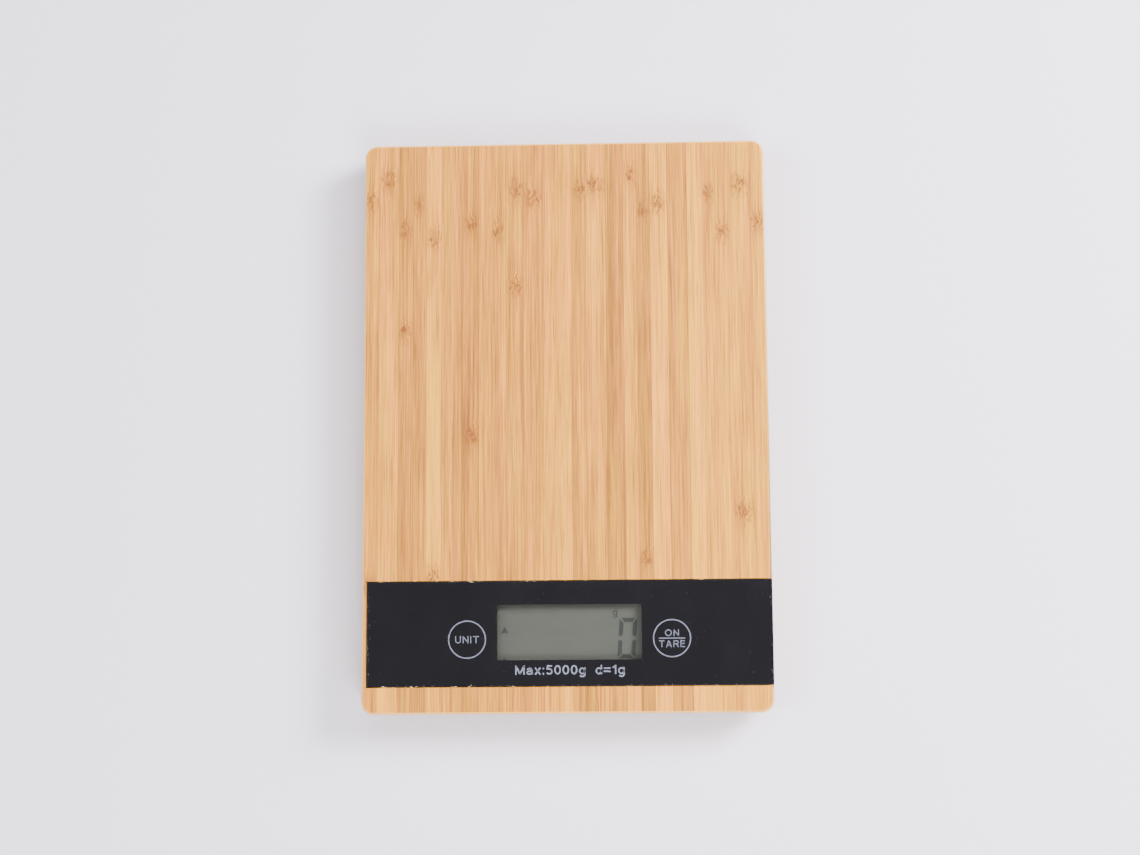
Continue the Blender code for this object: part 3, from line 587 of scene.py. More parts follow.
def panelMaterial():
    material, tree, shader, coords = newMaterial("blackPanel")
    x, y, _ = parts(tree, coords)
    specks = put(tree, "ShaderNodeTexVoronoi", {"Vector": coords, "Scale": 520.0, "Randomness": 1.0})
    dot = span(tree, specks.outputs["Distance"], 0.035, 0.10, 1.0, 0.0)
    few = span(tree, noise(tree, coords, 210.0, 2.0, 0.6), 0.53, 0.63)
    dust = times(tree, dot, few)
    # the handled ends and long edges are scuffed
    endWear = span(tree, maths(tree, "ABSOLUTE", minus(tree, x, panelMiddle.x)),
                   (panelHigh[0] - panelLow[0]) / 2 - 1.7 * mm, (panelHigh[0] - panelLow[0]) / 2)
    sideWear = span(tree, maths(tree, "ABSOLUTE", minus(tree, y, panelMiddle.y)),
                    (panelHigh[1] - panelLow[1]) / 2 - 0.7 * mm, (panelHigh[1] - panelLow[1]) / 2)
    worn = maths(tree, "MAXIMUM", endWear, sideWear)
    grit = noise(tree, stretched(tree, coords, (900.0, 380.0, 900.0)), 1.0, 4.0, 0.65)
    scuff = times(tree, worn, span(tree, grit, 0.585, 0.68))
    haze = noise(tree, stretched(tree, coords, (14.0, 22.0, 14.0)), 1.0, 2.0)
    colour = blended(tree, haze, panelLook["colour"], panelLook["haze"])
    colour = blended(tree, times(tree, dust, 0.55), colour, panelLook["dust"])
    colour = blended(tree, scuff, colour, panelLook["scuff"])
    tree.links.new(colour, shader.inputs["Base Color"])
    smear = noise(tree, stretched(tree, coords, (60.0, 25.0, 60.0)), 1.0, 3.0, 0.6)
    tree.links.new(plus(tree, span(tree, smear, 0.3, 0.7, 0.15, 0.23), times(tree, scuff, 0.3)),
                   shader.inputs["Roughness"])
    shader.inputs["Specular IOR Level"].default_value = 0.35
    fine = noise(tree, coords, 1500.0, 2.0)
    bumped(tree, shader, plus(tree, fine, times(tree, scuff, -2.0)), 0.004 * mm, 0.5)
    return material


def windowMaterial():
    # clear, with a fine gloss and hairline scratches that only show in the reflection
    material = bpy.data.materials.new("clearWindow")
    material.use_nodes = True
    tree = material.node_tree
    tree.nodes.clear()
    coords = put(tree, "ShaderNodeTexCoord").outputs["Object"]
    turned = put(tree, "ShaderNodeMapping", {"Vector": coords, "Rotation": (0.0, 0.0, math.radians(28)),
                                             "Scale": (520.0, 26.0, 520.0)}).outputs[0]
    hair = span(tree, noise(tree, turned, 1.0, 2.0, 0.5), 0.64, 0.74, 0.0, 0.55)
    gloss = put(tree, "ShaderNodeBsdfGlossy", {"Roughness": span(tree, hair, 0.0, 1.0, 0.08, 0.45),
                                               "Color": (0.95, 0.97, 1.0, 1.0)})
    clear = put(tree, "ShaderNodeBsdfTransparent", {"Color": (0.955, 0.965, 0.95, 1.0)})
    # the same gloss on both faces of the pane, and more of it towards a glancing view
    slant = put(tree, "ShaderNodeLayerWeight", {"Blend": 0.5}).outputs["Facing"]
    amount = maths(tree, "MULTIPLY_ADD", maths(tree, "POWER", slant, 5.0), 0.6, 0.022)
    amount = plus(tree, amount, times(tree, hair, 0.04), clamp=True)
    mixed = put(tree, "ShaderNodeMixShader", {0: amount, 1: clear.outputs[0], 2: gloss.outputs[0]})
    put(tree, "ShaderNodeOutputMaterial", {"Surface": mixed.outputs[0]})
    return material


def displayPanel():
    look = panelLook
    low, high = Vector(panelLow), Vector(panelHigh)
    half = Vector((look["windowWidth"] / 2, look["windowDepth"] / 2, 0.0))
    inner = (windowMiddle - half, windowMiddle + half)
    bm = bmesh.new()
    levels = {}
    for z in (low.z, high.z):
        outerRing = [(low.x, low.y), (high.x, low.y), (high.x, high.y), (low.x, high.y)]
        innerRing = [(inner[0].x, inner[0].y), (inner[1].x, inner[0].y), (inner[1].x, inner[1].y),
                     (inner[0].x, inner[1].y)]
        levels[z] = [[bm.verts.new((*p, z)) for p in ring] for ring in (outerRing, innerRing)]
    (bottomOut, bottomIn), (topOut, topIn) = levels[low.z], levels[high.z]
    for i in range(4):
        j = (i + 1) % 4
        bm.faces.new((topOut[i], topOut[j], topIn[j], topIn[i]))
        bm.faces.new((bottomOut[j], bottomOut[i], bottomIn[i], bottomIn[j]))
        bm.faces.new((bottomOut[i], bottomOut[j], topOut[j], topOut[i]))
        bm.faces.new((bottomIn[j], bottomIn[i], topIn[i], topIn[j]))
    bm.edges.ensure_lookup_table()
    outerVerts = set(topOut + bottomOut)
    rims = [e for e in bm.edges if e.verts[0] in outerVerts and e.verts[1] in outerVerts]
    bmesh.ops.bevel(bm, geom=rims, offset=look["edge"], segments=4, profile=0.5, affect="EDGES")
    panel = evenShading(fromBmesh("displayPanel", bm, panelMaterial(), 40))
    finish(panel, "platform", ["display_panel"])

    slack = Vector((0.02 * mm, 0.02 * mm, 0.0))
    bm = bmesh.new()
    boxMesh(bm, (inner[0] + slack)[:2] + (low.z,), (inner[1] - slack)[:2] + (high.z,))
    finish(fromBmesh("clearWindow", bm, windowMaterial(), 30), "platform")


markLook = {
    "ringDiameter": 15.0 * mm, "ringLine": 0.49 * mm, "barLength": 10.4 * mm, "barWidth": 0.40 * mm,
    "letterGap": 0.20,
    # text, its middle from the key or the panel, baseline, cap height, width, stroke
    "unitWords": [("UNIT", 0.0, -1.42 * mm, 2.84 * mm, 9.5 * mm, 0.39 * mm)],
    "tareWords": [("ON", 0.0, 0.80 * mm, 2.62 * mm, 5.6 * mm, 0.37 * mm),
                  ("TARE", 0.0, -3.55 * mm, 2.72 * mm, 10.1 * mm, 0.37 * mm)],
    "capacity": ("Max:5000g  d=1g", 0.15 * mm, -16.55 * mm, 3.62 * mm, 43.1 * mm, 0.57 * mm),
}


def oval(x, y, radiusX, radiusY, start=0, end=360, steps=28):
    # points along part of an oval, angles in degrees
    turn = [math.radians(start + (end - start) * i / steps) for i in range(steps + 1)]
    points = [(x + radiusX * math.cos(a), y + radiusY * math.sin(a)) for a in turn]
    return points[:-1] if abs(end - start) == 360 else points


def letterStrokes():
    # every letter as (width, strokes) on a cap height of 1; a stroke that ends where it starts is closed
    h = 0.08  # half a stroke
    bowl = oval(0.32, 0.36, 0.24, 0.30)
    nought = oval(0.33, 0.5, 0.25, 0.43)
    return {
        " ": (0.26, []),
        "U": (0.78, [[(h, 1)] + oval(0.39, 0.38, 0.31, 0.31, 180, 360) + [(0.78 - h, 1)]]),
        "N": (0.78, [[(h, 0), (h, 1)], [(0.78 - h, 0), (0.78 - h, 1)], [(h, 0.93), (0.78 - h, 0.07)]]),
        "I": (0.16, [[(h, 0), (h, 1)]]),
        "T": (0.80, [[(0, 1 - h), (0.8, 1 - h)], [(0.4, 0), (0.4, 1 - h)]]),
        "O": (0.98, [oval(0.49, 0.5, 0.41, 0.43, steps=40)]),
        "A": (0.92, [[(h, 0), (0.43, 0.94)], [(0.92 - h, 0), (0.49, 0.94)], [(0.22, 0.30), (0.70, 0.30)]]),
        "R": (0.84, [[(h, 0), (h, 1)],
                     [(h, 1 - h), (0.48, 1 - h)] + oval(0.48, 0.70, 0.25, 0.22, 80, -90) + [(h, 0.48)],
                     [(0.44, 0.48), (0.78, 0)]]),
        "E": (0.70, [[(h, 0), (h, 1)], [(h, 1 - h), (0.7, 1 - h)], [(h, 0.52), (0.66, 0.52)],
                     [(h, h), (0.7, h)]]),
        "M": (0.94, [[(h, 0), (h, 1)], [(0.94 - h, 0), (0.94 - h, 1)], [(h, 0.95), (0.47, 0.07)],
                     [(0.94 - h, 0.95), (0.47, 0.07)]]),
        "a": (0.66, [oval(0.31, 0.46, 0.22, 0.21, 165, 20) + [(0.54, 0.44), (0.54, 0.14), (0.60, 0)],
                     [(0.54, 0.42), (0.30, 0.37)] + oval(0.26, 0.215, 0.18, 0.155, 90, 270)
                     + [(0.40, 0.09), (0.53, 0.22)]]),
        "x": (0.62, [[(0.06, 0), (0.56, 0.74)], [(0.56, 0), (0.06, 0.74)]]),
        ":": (0.20, [[(0.10, 0), (0.10, 0.18)], [(0.10, 0.56), (0.10, 0.74)]]),
        "5": (0.66, [[(0.60, 1 - h), (0.18, 1 - h), (0.12, 0.52)], oval(0.32, 0.34, 0.26, 0.27, 130, -150)]),
        "0": (0.66, [nought]),
        "g": (0.66, [bowl, [(0.57, 0.74), (0.57, -0.02)] + oval(0.33, -0.02, 0.24, 0.22, 0, -155)]),
        "d": (0.66, [bowl, [(0.57, 0), (0.57, 1)]]),
        "=": (0.66, [[(0, 0.30), (0.66, 0.30)], [(0, 0.64), (0.66, 0.64)]]),
        "1": (0.44, [[(0.34, 0), (0.34, 1)], [(0.34, 0.93), (0.06, 0.70)]]),
    }


def ribbon(bm, points, width, low, high, closed=False):
    # a flat strip of even width along a line of points
    points = [Vector(p) for p in points]
    count = len(points)
    left, right = [], []
    for i, here in enumerate(points):
        ways = []
        if closed or i > 0:
            ways.append((here - points[i - 1]).normalized())
        if closed or i < count - 1:
            ways.append((points[(i + 1) % count] - here).normalized())
        across = Vector((-sum(w.y for w in ways), sum(w.x for w in ways))).normalized()
        reach = width / 2 / max(across.dot(Vector((-ways[0].y, ways[0].x))), 0.6)
        left.append(here + across * reach)
        right.append(here - across * reach)
    loops = [[bm.verts.new((*p, z)) for p in side] for side, z in ((left, high), (right, high), (right, low),
                                                                  (left, low))]
    for first, second in zip(loops, loops[1:] + loops[:1]):
        for i in range(count if closed else count - 1):
            j = (i + 1) % count
            bm.faces.new((first[i], first[j], second[j], second[i]))
    if not closed:
        for end in (0, -1):
            bm.faces.new([loop[end] for loop in loops])


def words(bm, text, x, baseline, capHeight, width, stroke, low, high, gap=None):
    # plain sans letters, spread over the given width
    letters = letterStrokes()
    gap = markLook["letterGap"] if gap is None else gap
    starts, pen = [], 0.0
    for letter in text:
        starts.append(pen)
        pen += letters[letter][0] + gap
    wide = width / (pen - gap)
    for letter, start in zip(text, starts):
        for line in letters[letter][1]:
            closed = line in (letters["O"][1][0], letters["0"][1][0], letters["g"][1][0])
            points = [(x - width / 2 + (start + px) * wide, baseline + py * capHeight) for px, py in line]
            ribbon(bm, points, stroke, low, high, closed)


def joined(name, pieces):
    bm = bmesh.new()
    material = pieces[0].data.materials[0]
    for piece in pieces:
        bm.from_mesh(piece.data)
        bpy.data.objects.remove(piece, do_unlink=True)
    return fromBmesh(name, bm, material)


def printMaterial(name, strength):
    material, tree, shader, coords = newMaterial(name)
    worn = noise(tree, coords, 900.0, 3.0, 0.6)
    colour = scaled(panelLook["printColour"], strength)
    faded = scaled(colour, 0.72)
    colour = blended(tree, span(tree, worn, 0.35, 0.6), faded, colour)
    surfaced(tree, shader, colour, span(tree, worn, 0.3, 0.7, 0.42, 0.58))
    return material


def printedMarks():
    look = markLook
    keyInk, lineInk = printMaterial("keyInk", panelLook["keyStrength"]), printMaterial("lineInk", 1.0)
    low, high = boardTop, boardTop + panelLook["printHeight"]
    for key, place in (("unit", unitPlace), ("tare", tarePlace)):
        bm = bmesh.new()
        circle = (look["ringDiameter"] - look["ringLine"]) / 2
        ribbon(bm, oval(place.x, place.y, circle, circle, steps=96), look["ringLine"], low, high, True)
        if key == "tare":
            half = look["barLength"] / 2
            ribbon(bm, [(place.x - half, place.y), (place.x + half, place.y)], look["barWidth"], low, high)
        for text, x, baseline, cap, width, stroke in look[f"{key}Words"]:
            words(bm, text, place.x + x, place.y + baseline, cap, width, stroke, low, high)
        finish(fromBmesh(f"{key}KeyMark", bm, keyInk), "platform")
    text, x, baseline, cap, width, stroke = look["capacity"]
    bm = bmesh.new()
    words(bm, text, panelMiddle.x + x, windowMiddle.y + baseline, cap, width, stroke, low, high, 0.14)
    finish(fromBmesh("capacityMark", bm, lineInk), "platform")


lcdLook = {
    "film": (0.053, 0.054, 0.047), "filmLight": (0.060, 0.061, 0.054), "mark": (0.014, 0.0145, 0.016),
    # shade: how dark the painted shadow of the window's rim gets on the film
    "shade": 0.62,
    "digitHeight": 15.9 * mm, "digitWidth": 7.0 * mm, "segment": 1.65 * mm, "lean": 0.07, "cut": 0.28 * mm,
    "digitFromRight": 5.75 * mm, "digitFromBottom": 8.45 * mm, "filmInset": 2.2 * mm,
    "filmThickness": 0.2 * mm, "glassThickness": 1.1 * mm, "markHeight": 0.02 * mm,
}


def lcdMaterials():
    film, tree, shader, coords = newMaterial("lcdFilm")
    mottle = noise(tree, coords, 46.0, 2.0)
    fine = noise(tree, coords, 2600.0, 2.0)
    colour = blended(tree, mottle, lcdLook["film"], lcdLook["filmLight"])
    colour = blended(tree, times(tree, fine, 0.12), colour, (0.09, 0.09, 0.080))
    # painted shadow of the window's rim: the film is darker along the back and the left edge of the window
    x, y, _ = parts(tree, coords)
    backEdge = windowMiddle.y + panelLook["windowDepth"] / 2
    leftEdge = windowMiddle.x - panelLook["windowWidth"] / 2
    shade = maths(tree, "MINIMUM",
                  span(tree, y, backEdge - 2.4 * mm, backEdge + 0.2 * mm, 1.0, lcdLook["shade"]),
                  span(tree, x, leftEdge - 0.2 * mm, leftEdge + 1.3 * mm, lcdLook["shade"], 1.0))
    shade = vectorOf(tree, shade, shade, shade)
    surfaced(tree, shader, blended(tree, 1.0, colour, shade, "MULTIPLY"),
             span(tree, fine, 0.3, 0.7, 0.40, 0.55))
    mark, tree, shader, coords = newMaterial("lcdMark")
    grain = noise(tree, coords, 1300.0, 2.0)
    colour = lcdLook["mark"]
    surfaced(tree, shader, blended(tree, grain, colour, scaled(colour, 1.35)),
             span(tree, grain, 0.3, 0.7, 0.38, 0.52))
    glass, tree, shader, coords = newMaterial("lcdGlass")
    tinge = noise(tree, coords, 120.0, 2.0)
    surfaced(tree, shader, blended(tree, tinge, (0.30, 0.36, 0.33), (0.38, 0.44, 0.40)),
             span(tree, tinge, 0.3, 0.7, 0.06, 0.16))
    return film, mark, glass


def display():
    look = lcdLook
    film, mark, glass = lcdMaterials()
    low, high = Vector(lcdLow), Vector(lcdHigh)
    ledge = Vector((0.0, look["filmInset"], 0.0))
    filmLow = high.z - look["markHeight"] - look["filmThickness"]
    bm = bmesh.new()
    boxMesh(bm, low, (high.x, high.y, low.z + look["glassThickness"]))
    boxMesh(bm, (low.x, low.y + ledge.y / 2, low.z + look["glassThickness"] + 0.01 * mm),
            (high.x, high.y - ledge.y / 2, filmLow - 0.01 * mm))
    finish(roundedEdges(fromBmesh("lcdGlass", bm, glass), 0.12 * mm), "platform", ["lcd_cell"])

    bm = bmesh.new()
    boxMesh(bm, (low.x + 0.5 * mm, low.y + ledge.y * 0.7, filmLow),
            (high.x - 0.5 * mm, high.y - ledge.y * 0.7, filmLow + look["filmThickness"]))
    finish(fromBmesh("lcdFilm", bm, film), "platform")

    # the lit marks: a nought, a small g and the arrow heads
    base = filmLow + look["filmThickness"]
    top = high.z
    right = windowMiddle.x + panelLook["windowWidth"] / 2
    left = windowMiddle.x - panelLook["windowWidth"] / 2
    back = windowMiddle.y + panelLook["windowDepth"] / 2
    front = windowMiddle.y - panelLook["windowDepth"] / 2
    centre = (right - look["digitFromRight"], front + look["digitFromBottom"])
    w, h, t, c = look["digitWidth"] / 2, look["digitHeight"] / 2, look["segment"], look["cut"]
    upright = [(-w, h - c - 0.2 * mm), (-w + t, h - t - c), (-w + t, 0.8 * t), (-w + t / 2, 0.42 * mm + c),
               (-w, 0.55 * t)]
    level = [(-w + 0.5 * mm + c, h), (w - 0.5 * mm - c, h), (w - t - c, h - t), (-w + t + c, h - t)]
    shapes = []
    for sx in (1, -1):
        for sy in (1, -1):
            outline = [(x * sx, y * sy) for x, y in upright]
            shapes.append(outline if sx * sy < 0 else outline[::-1])
    shapes.append(level[::-1])
    shapes.append([(x, -y) for x, y in level])
    bm = bmesh.new()
    for outline in shapes:
        flatShape(bm, [(centre[0] + x + y * look["lean"], centre[1] + y) for x, y in outline], base, top)
    arrowX = left + 2.8 * mm
    arrow = [(-1.5 * mm, -1.4 * mm), (0.0, -0.9 * mm), (1.5 * mm, -1.4 * mm), (0.0, 1.4 * mm)]
    for arrowY in (back - 9.9 * mm, front - 0.3 * mm):
        flatShape(bm, [(arrowX + x, arrowY + y) for x, y in arrow], base, top)
    words(bm, "g", right - 10.55 * mm, back - 4.5 * mm, 3.0 * mm, 1.9 * mm, 0.42 * mm, base, top)
    finish(fromBmesh("lcdMarks", bm, mark), "platform")


displayPanel()
printedMarks()
display()
print("display panel is made")


# finishes for the underside and the inside

finishLook = {
    # plastics and rubbers: colour, roughness low and high, grain scale, grain depth
    "blackPlastic": ((0.021, 0.021, 0.0225), 0.42, 0.58, 2300.0, 0.020 * mm),
    "footRubber": ((0.040, 0.040, 0.041), 0.68, 0.88, 3100.0, 0.018 * mm),
    "whitePlastic": ((0.66, 0.66, 0.63), 0.34, 0.50, 1900.0, 0.006 * mm),
    "blackTape": ((0.014, 0.014, 0.015), 0.75, 0.92, 1500.0, 0.010 * mm),
    "whiteSilicone": ((0.70, 0.70, 0.66), 0.42, 0.66, 700.0, 0.040 * mm),
    "chipEpoxy": ((0.010, 0.010, 0.011), 0.12, 0.28, 420.0, 0.015 * mm),
    "batteryWrap": ((0.030, 0.034, 0.040), 0.22, 0.36, 900.0, 0.004 * mm),
    "redWire": ((0.46, 0.018, 0.014), 0.36, 0.52, 1700.0, 0.005 * mm),
    "blackWire": ((0.014, 0.014, 0.015), 0.36, 0.52, 1700.0, 0.005 * mm),
    "greyWire": ((0.34, 0.34, 0.35), 0.36, 0.52, 1700.0, 0.005 * mm),
}
metalLook = {  # colour, roughness low and high, and how the brushing is stretched
    "plainSteel": ((0.56, 0.56, 0.57), 0.24, 0.42, (90.0, 2600.0, 2600.0)),
    "nickel": ((0.66, 0.63, 0.56), 0.18, 0.34, (2400.0, 260.0, 260.0)),
}


def moulded(name):
    colour, smoothest, roughest, grain, depth = finishLook[name]
    material, tree, shader, coords = newMaterial(name)
    cloud = noise(tree, coords, 38.0, 3.0)
    fine = noise(tree, coords, grain, 2.0, 0.6)
    darker = scaled(colour, 0.84)
    shade = blended(tree, cloud, darker, colour)
    shade = blended(tree, span(tree, fine, 0.58, 0.8, 0.0, 0.25), shade, scaled(colour, 1.5))
    surfaced(tree, shader, shade, span(tree, plus(tree, fine, cloud), 0.7, 1.3, smoothest, roughest))
    bumped(tree, shader, fine, depth, 0.6)
    return material


def metal(name):
    colour, smoothest, roughest, brushing = metalLook[name]
    material, tree, shader, coords = newMaterial(name)
    shader.inputs["Metallic"].default_value = 1.0
    lines = noise(tree, stretched(tree, coords, brushing), 1.0, 3.0, 0.6)
    stain = noise(tree, coords, 160.0, 3.0)
    shade = blended(tree, stain, scaled(colour, 0.80), colour)
    surfaced(tree, shader, shade, span(tree, lines, 0.3, 0.7, smoothest, roughest))
    bumped(tree, shader, lines, 0.004 * mm, 0.5)
    return material


def circuitMaterial():
    # green solder mask with copper tracks under it and rows of tinned pads
    material, tree, shader, coords = newMaterial("circuitBoard")
    tracks = put(tree, "ShaderNodeTexBrick", {
        "Vector": coords, "Color1": (0, 0, 0, 1), "Color2": (0, 0, 0, 1), "Mortar": (1, 1, 1, 1),
        "Scale": 150.0, "Mortar Size": 0.035, "Brick Width": 1.4, "Row Height": 0.22}, offset=0.37)
    weave = noise(tree, coords, 1600.0, 2.0)
    mask = blended(tree, weave, (0.012, 0.095, 0.030), (0.018, 0.120, 0.040))
    mask = blended(tree, tracks.outputs["Fac"], mask, (0.035, 0.200, 0.065))
    pads = put(tree, "ShaderNodeTexVoronoi", {"Vector": coords, "Scale": 330.0, "Randomness": 0.0})
    dots = span(tree, pads.outputs["Distance"], 0.22, 0.25, 1.0, 0.0)
    some = span(tree, noise(tree, coords, 75.0, 1.0), 0.60, 0.61)
    tinned = times(tree, dots, some)
    surfaced(tree, shader, blended(tree, tinned, mask, (0.55, 0.56, 0.57)),
             span(tree, tinned, 0.0, 1.0, 0.32, 0.42))
    bumped(tree, shader, plus(tree, tracks.outputs["Fac"], tinned), 0.02 * mm, 0.6)
    return material


def zebraMaterial():
    # thin layers of conducting and insulating rubber, in turn along X
    material, tree, shader, coords = newMaterial("zebraRubber")
    x = parts(tree, coords)[0]
    layer = maths(tree, "FRACT", times(tree, x, 1 / (0.5 * mm)))
    stripe = span(tree, maths(tree, "ABSOLUTE", minus(tree, layer, 0.5)), 0.20, 0.24)
    tree.links.new(blended(tree, stripe, (0.012, 0.012, 0.013), (0.33, 0.33, 0.32)),
                   shader.inputs["Base Color"])
    grain = noise(tree, coords, 1500.0, 2.0)
    tree.links.new(span(tree, grain, 0.3, 0.7, 0.55, 0.75), shader.inputs["Roughness"])
    bumped(tree, shader, plus(tree, stripe, grain), 0.01 * mm, 0.5)
    return material


paints = {name: moulded(name) for name in finishLook}
paints.update({name: metal(name) for name in metalLook})


def repaint(node, material):
    # a CAD node that stays gets its better finish
    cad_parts[node].data.materials.clear()
    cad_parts[node].data.materials.append(material)


# underside: cover, screws, battery cover and feet

screwLook = {
    "coverScrew": {"head": 4.4 * mm, "shank": 2.2 * mm, "slot": 0.62 * mm, "reach": 1.30 * mm},
    "boardScrew": {"head": 3.2 * mm, "shank": 1.6 * mm, "slot": 0.50 * mm, "reach": 0.95 * mm},
    "headHeight": 0.9 * mm, "slotDepth": 0.5 * mm, "threads": 7, "threadDepth": 0.14,
}


def screwBlank(kind, length, material):
    # a pan head at z = 0 that faces down, and a ridged shank that points up
    look, head = screwLook[kind], screwLook["headHeight"]
    r, s = look["head"] / 2, look["shank"] / 2
    profile = [(0.0, length), (s * 0.25, length - 0.1 * mm)]
    top, bottom = length - s * 1.4, head + 0.4 * mm
    steps = screwLook["threads"]
    for i in range(steps):
        z = top - (top - bottom) * i / steps
        profile += [(s * (1 - screwLook["threadDepth"]), z), (s, z - (top - bottom) * 0.35 / steps)]
    profile += [(s * 0.86, bottom), (s * 0.86, head), (r, head)]
    profile += arc(r - 0.45 * mm, 0.45 * mm, 0.45 * mm, 0, -75, 5)
    profile += [(r * 0.45, 0.0), (0.0, 0.0)]
    blank = turnedPiece(f"{kind}Blank", profile, material, 40, 30)
    bm = bmesh.new()
    depth = screwLook["slotDepth"]
    reach, half = look["reach"], look["slot"] / 2
    for a, b in ((reach, half), (half, reach)):
        boxMesh(bm, (-a, -b, -0.5 * mm), (a, b, depth))
    cutter = fromBmesh("cross", bm)
    cut = blank.modifiers.new("cross", "BOOLEAN")
    cut.object = cutter
    cut.solver = "EXACT"
    cut.use_self = True
    blank = evenShading(blank)
    bpy.data.objects.remove(cutter, do_unlink=True)
    return blank


def screwTree(material):
    tree, given, output = nodeTree("screws at their places", {"Screw": None})
    blank = put(tree, "GeometryNodeObjectInfo", {"Object": given["Screw"]}).outputs["Geometry"]
    index = put(tree, "GeometryNodeInputIndex").outputs[0]
    turn = vectorOf(tree, z=times(tree, index, 0.83))
    turn = put(tree, "FunctionNodeEulerToRotation", {0: turn}).outputs[0]
    spread = put(tree, "GeometryNodeInstanceOnPoints",
                 {"Points": given["Geometry"], "Instance": blank, "Rotation": turn})
    endTree(tree, spread.outputs[0], material, output)
    return tree


def screws():
    steel = paints["plainSteel"]
    tree = screwTree(steel)
    for kind, prefix, count in (("coverScrew", "cover_screw", 6), ("boardScrew", "board_screw", 4)):
        nodes = [f"{prefix}_{i}" for i in range(1, count + 1)]
        boxes = [boxOf(node) for node in nodes]
        blank = screwBlank(kind, boxes[0][1].z - boxes[0][0].z, steel)
        places = [((low + high) / 2).to_2d().to_tuple() + (low.z,) for low, high in boxes]
        made = grown(f"{kind}s", tree, {"Screw": blank}, places)
        bpy.data.objects.remove(blank, do_unlink=True)
        made.data.shade_smooth()
        made.data.set_sharp_from_angle(angle=math.radians(30))
        finish(made, "platform", nodes)


lidLook = {"edge": 0.16 * mm, "markHeight": 0.35 * mm, "arrow": 6.0 * mm, "arrowAt": 0.30}


def batteryLid():
    lid = fromNode("batteryLid", "battery_cover", paints["blackPlastic"], lidLook["edge"])
    low, high = boxOf("battery_cover")
    # a raised arrow head that shows which way it slides
    a = lidLook["arrow"]
    x, y = 0.0, low.y + (high.y - low.y) * lidLook["arrowAt"]
    bm = bmesh.new()
    flatShape(bm, [(x - a / 2, y - a * 0.3), (x + a / 2, y - a * 0.3), (x, y + a * 0.5)],
              low.z - lidLook["markHeight"], low.z + 0.05 * mm)
    arrow = fromBmesh("arrow", bm, paints["blackPlastic"])
    lid = evenShading(joined("batteryLid", [lid, arrow]))
    finish(lid, "battery_cover", ["battery_cover"])


footLook = {
    "edge": 0.4 * mm, "flangeAt": 7.0 * mm, "flangeWidth": 1.5 * mm, "flangeThickness": 1.0 * mm,
    "wall": 1.4 * mm, "web": 1.5 * mm, "post": 5.0 * mm, "padGap": 0.3 * mm, "ridges": 3,
    "ridgeHeight": 0.32 * mm, "ridgePitch": 1.15 * mm, "outerRing": 4.6 * mm, "innerRing": 2.3 * mm,
    "outerNubs": 16, "innerNubs": 8, "nub": 1.1 * mm,
}


def footCup():
    look = footLook
    low, high = boxOf("foot_cup_front_left")
    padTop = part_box("foot_pad_front_left")[1][2]
    flange = (high.x - low.x) / 2
    outer = flange - look["flangeWidth"]
    recess = middleOf("foot_pad_front_left").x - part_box("foot_pad_front_left")[0][0] + look["padGap"]
    roof = padTop + look["padGap"]
    floor = roof + look["web"]
    inner = outer - look["wall"]
    post = look["post"] / 2
    flangeLow = look["flangeAt"]
    flangeHigh = flangeLow + look["flangeThickness"]
    e = look["edge"]
    profile = [(0.0, high.z)]
    profile += arc(post - 0.3 * mm, high.z - 0.3 * mm, 0.3 * mm, 90, 0)
    profile += [(post, floor + 0.3 * mm), (post + 0.3 * mm, floor), (inner - 0.3 * mm, floor),
                (inner, floor + 0.3 * mm), (inner, flangeHigh)]
    profile += arc(flange - 0.2 * mm, flangeHigh - 0.2 * mm, 0.2 * mm, 90, 0, 3)
    profile += arc(flange - 0.2 * mm, flangeLow + 0.2 * mm, 0.2 * mm, 0, -90, 3)
    profile += [(outer, flangeLow)]
    profile += arc(outer - e, low.z + e, e, 0, -90, 6)
    profile += [(recess + 0.2 * mm, low.z), (recess, low.z + 0.2 * mm), (recess, roof), (0.0, roof)]
    return evenShading(turnedPiece("footCup", profile, paints["blackPlastic"], 96))


def nubTree(material):
    # small round nubs in two rings and one in the middle, joined to the sole that comes in
    inputs = {
        "Outer Ring": 0.0045, "Inner Ring": 0.0022, "Outer Count": 16, "Inner Count": 8,
        "Nub Size": 0.001, "Nub Height": 0.0003,
    }
    tree, given, output = nodeTree("sole nubs", inputs)
    rings = [put(tree, "GeometryNodeMeshCircle", {"Vertices": given[f"{which} Count"],
                                                 "Radius": given[f"{which} Ring"]}).outputs[0]
             for which in ("Outer", "Inner")]
    middle = put(tree, "GeometryNodeMeshLine", {"Count": 1}).outputs[0]
    places = put(tree, "GeometryNodeJoinGeometry")
    for part in (*rings, middle):
        tree.links.new(part, places.inputs[0])
    nub = put(tree, "GeometryNodeMeshUVSphere", {"Segments": 16, "Rings": 8, "Radius": 0.5}).outputs[0]
    size = vectorOf(tree, given["Nub Size"], given["Nub Size"], times(tree, given["Nub Height"], 2.0))
    spread = put(tree, "GeometryNodeInstanceOnPoints",
                 {"Points": places.outputs[0], "Instance": nub, "Scale": size}).outputs[0]
    lift = vectorOf(tree, z=given["Nub Height"])
    spread = put(tree, "GeometryNodeTransform", {"Geometry": spread, "Translation": lift}).outputs[0]
    both = put(tree, "GeometryNodeJoinGeometry")
    tree.links.new(spread, both.inputs[0])
    tree.links.new(given["Geometry"], both.inputs[0])
    endTree(tree, both.outputs[0], material, output)
    return tree


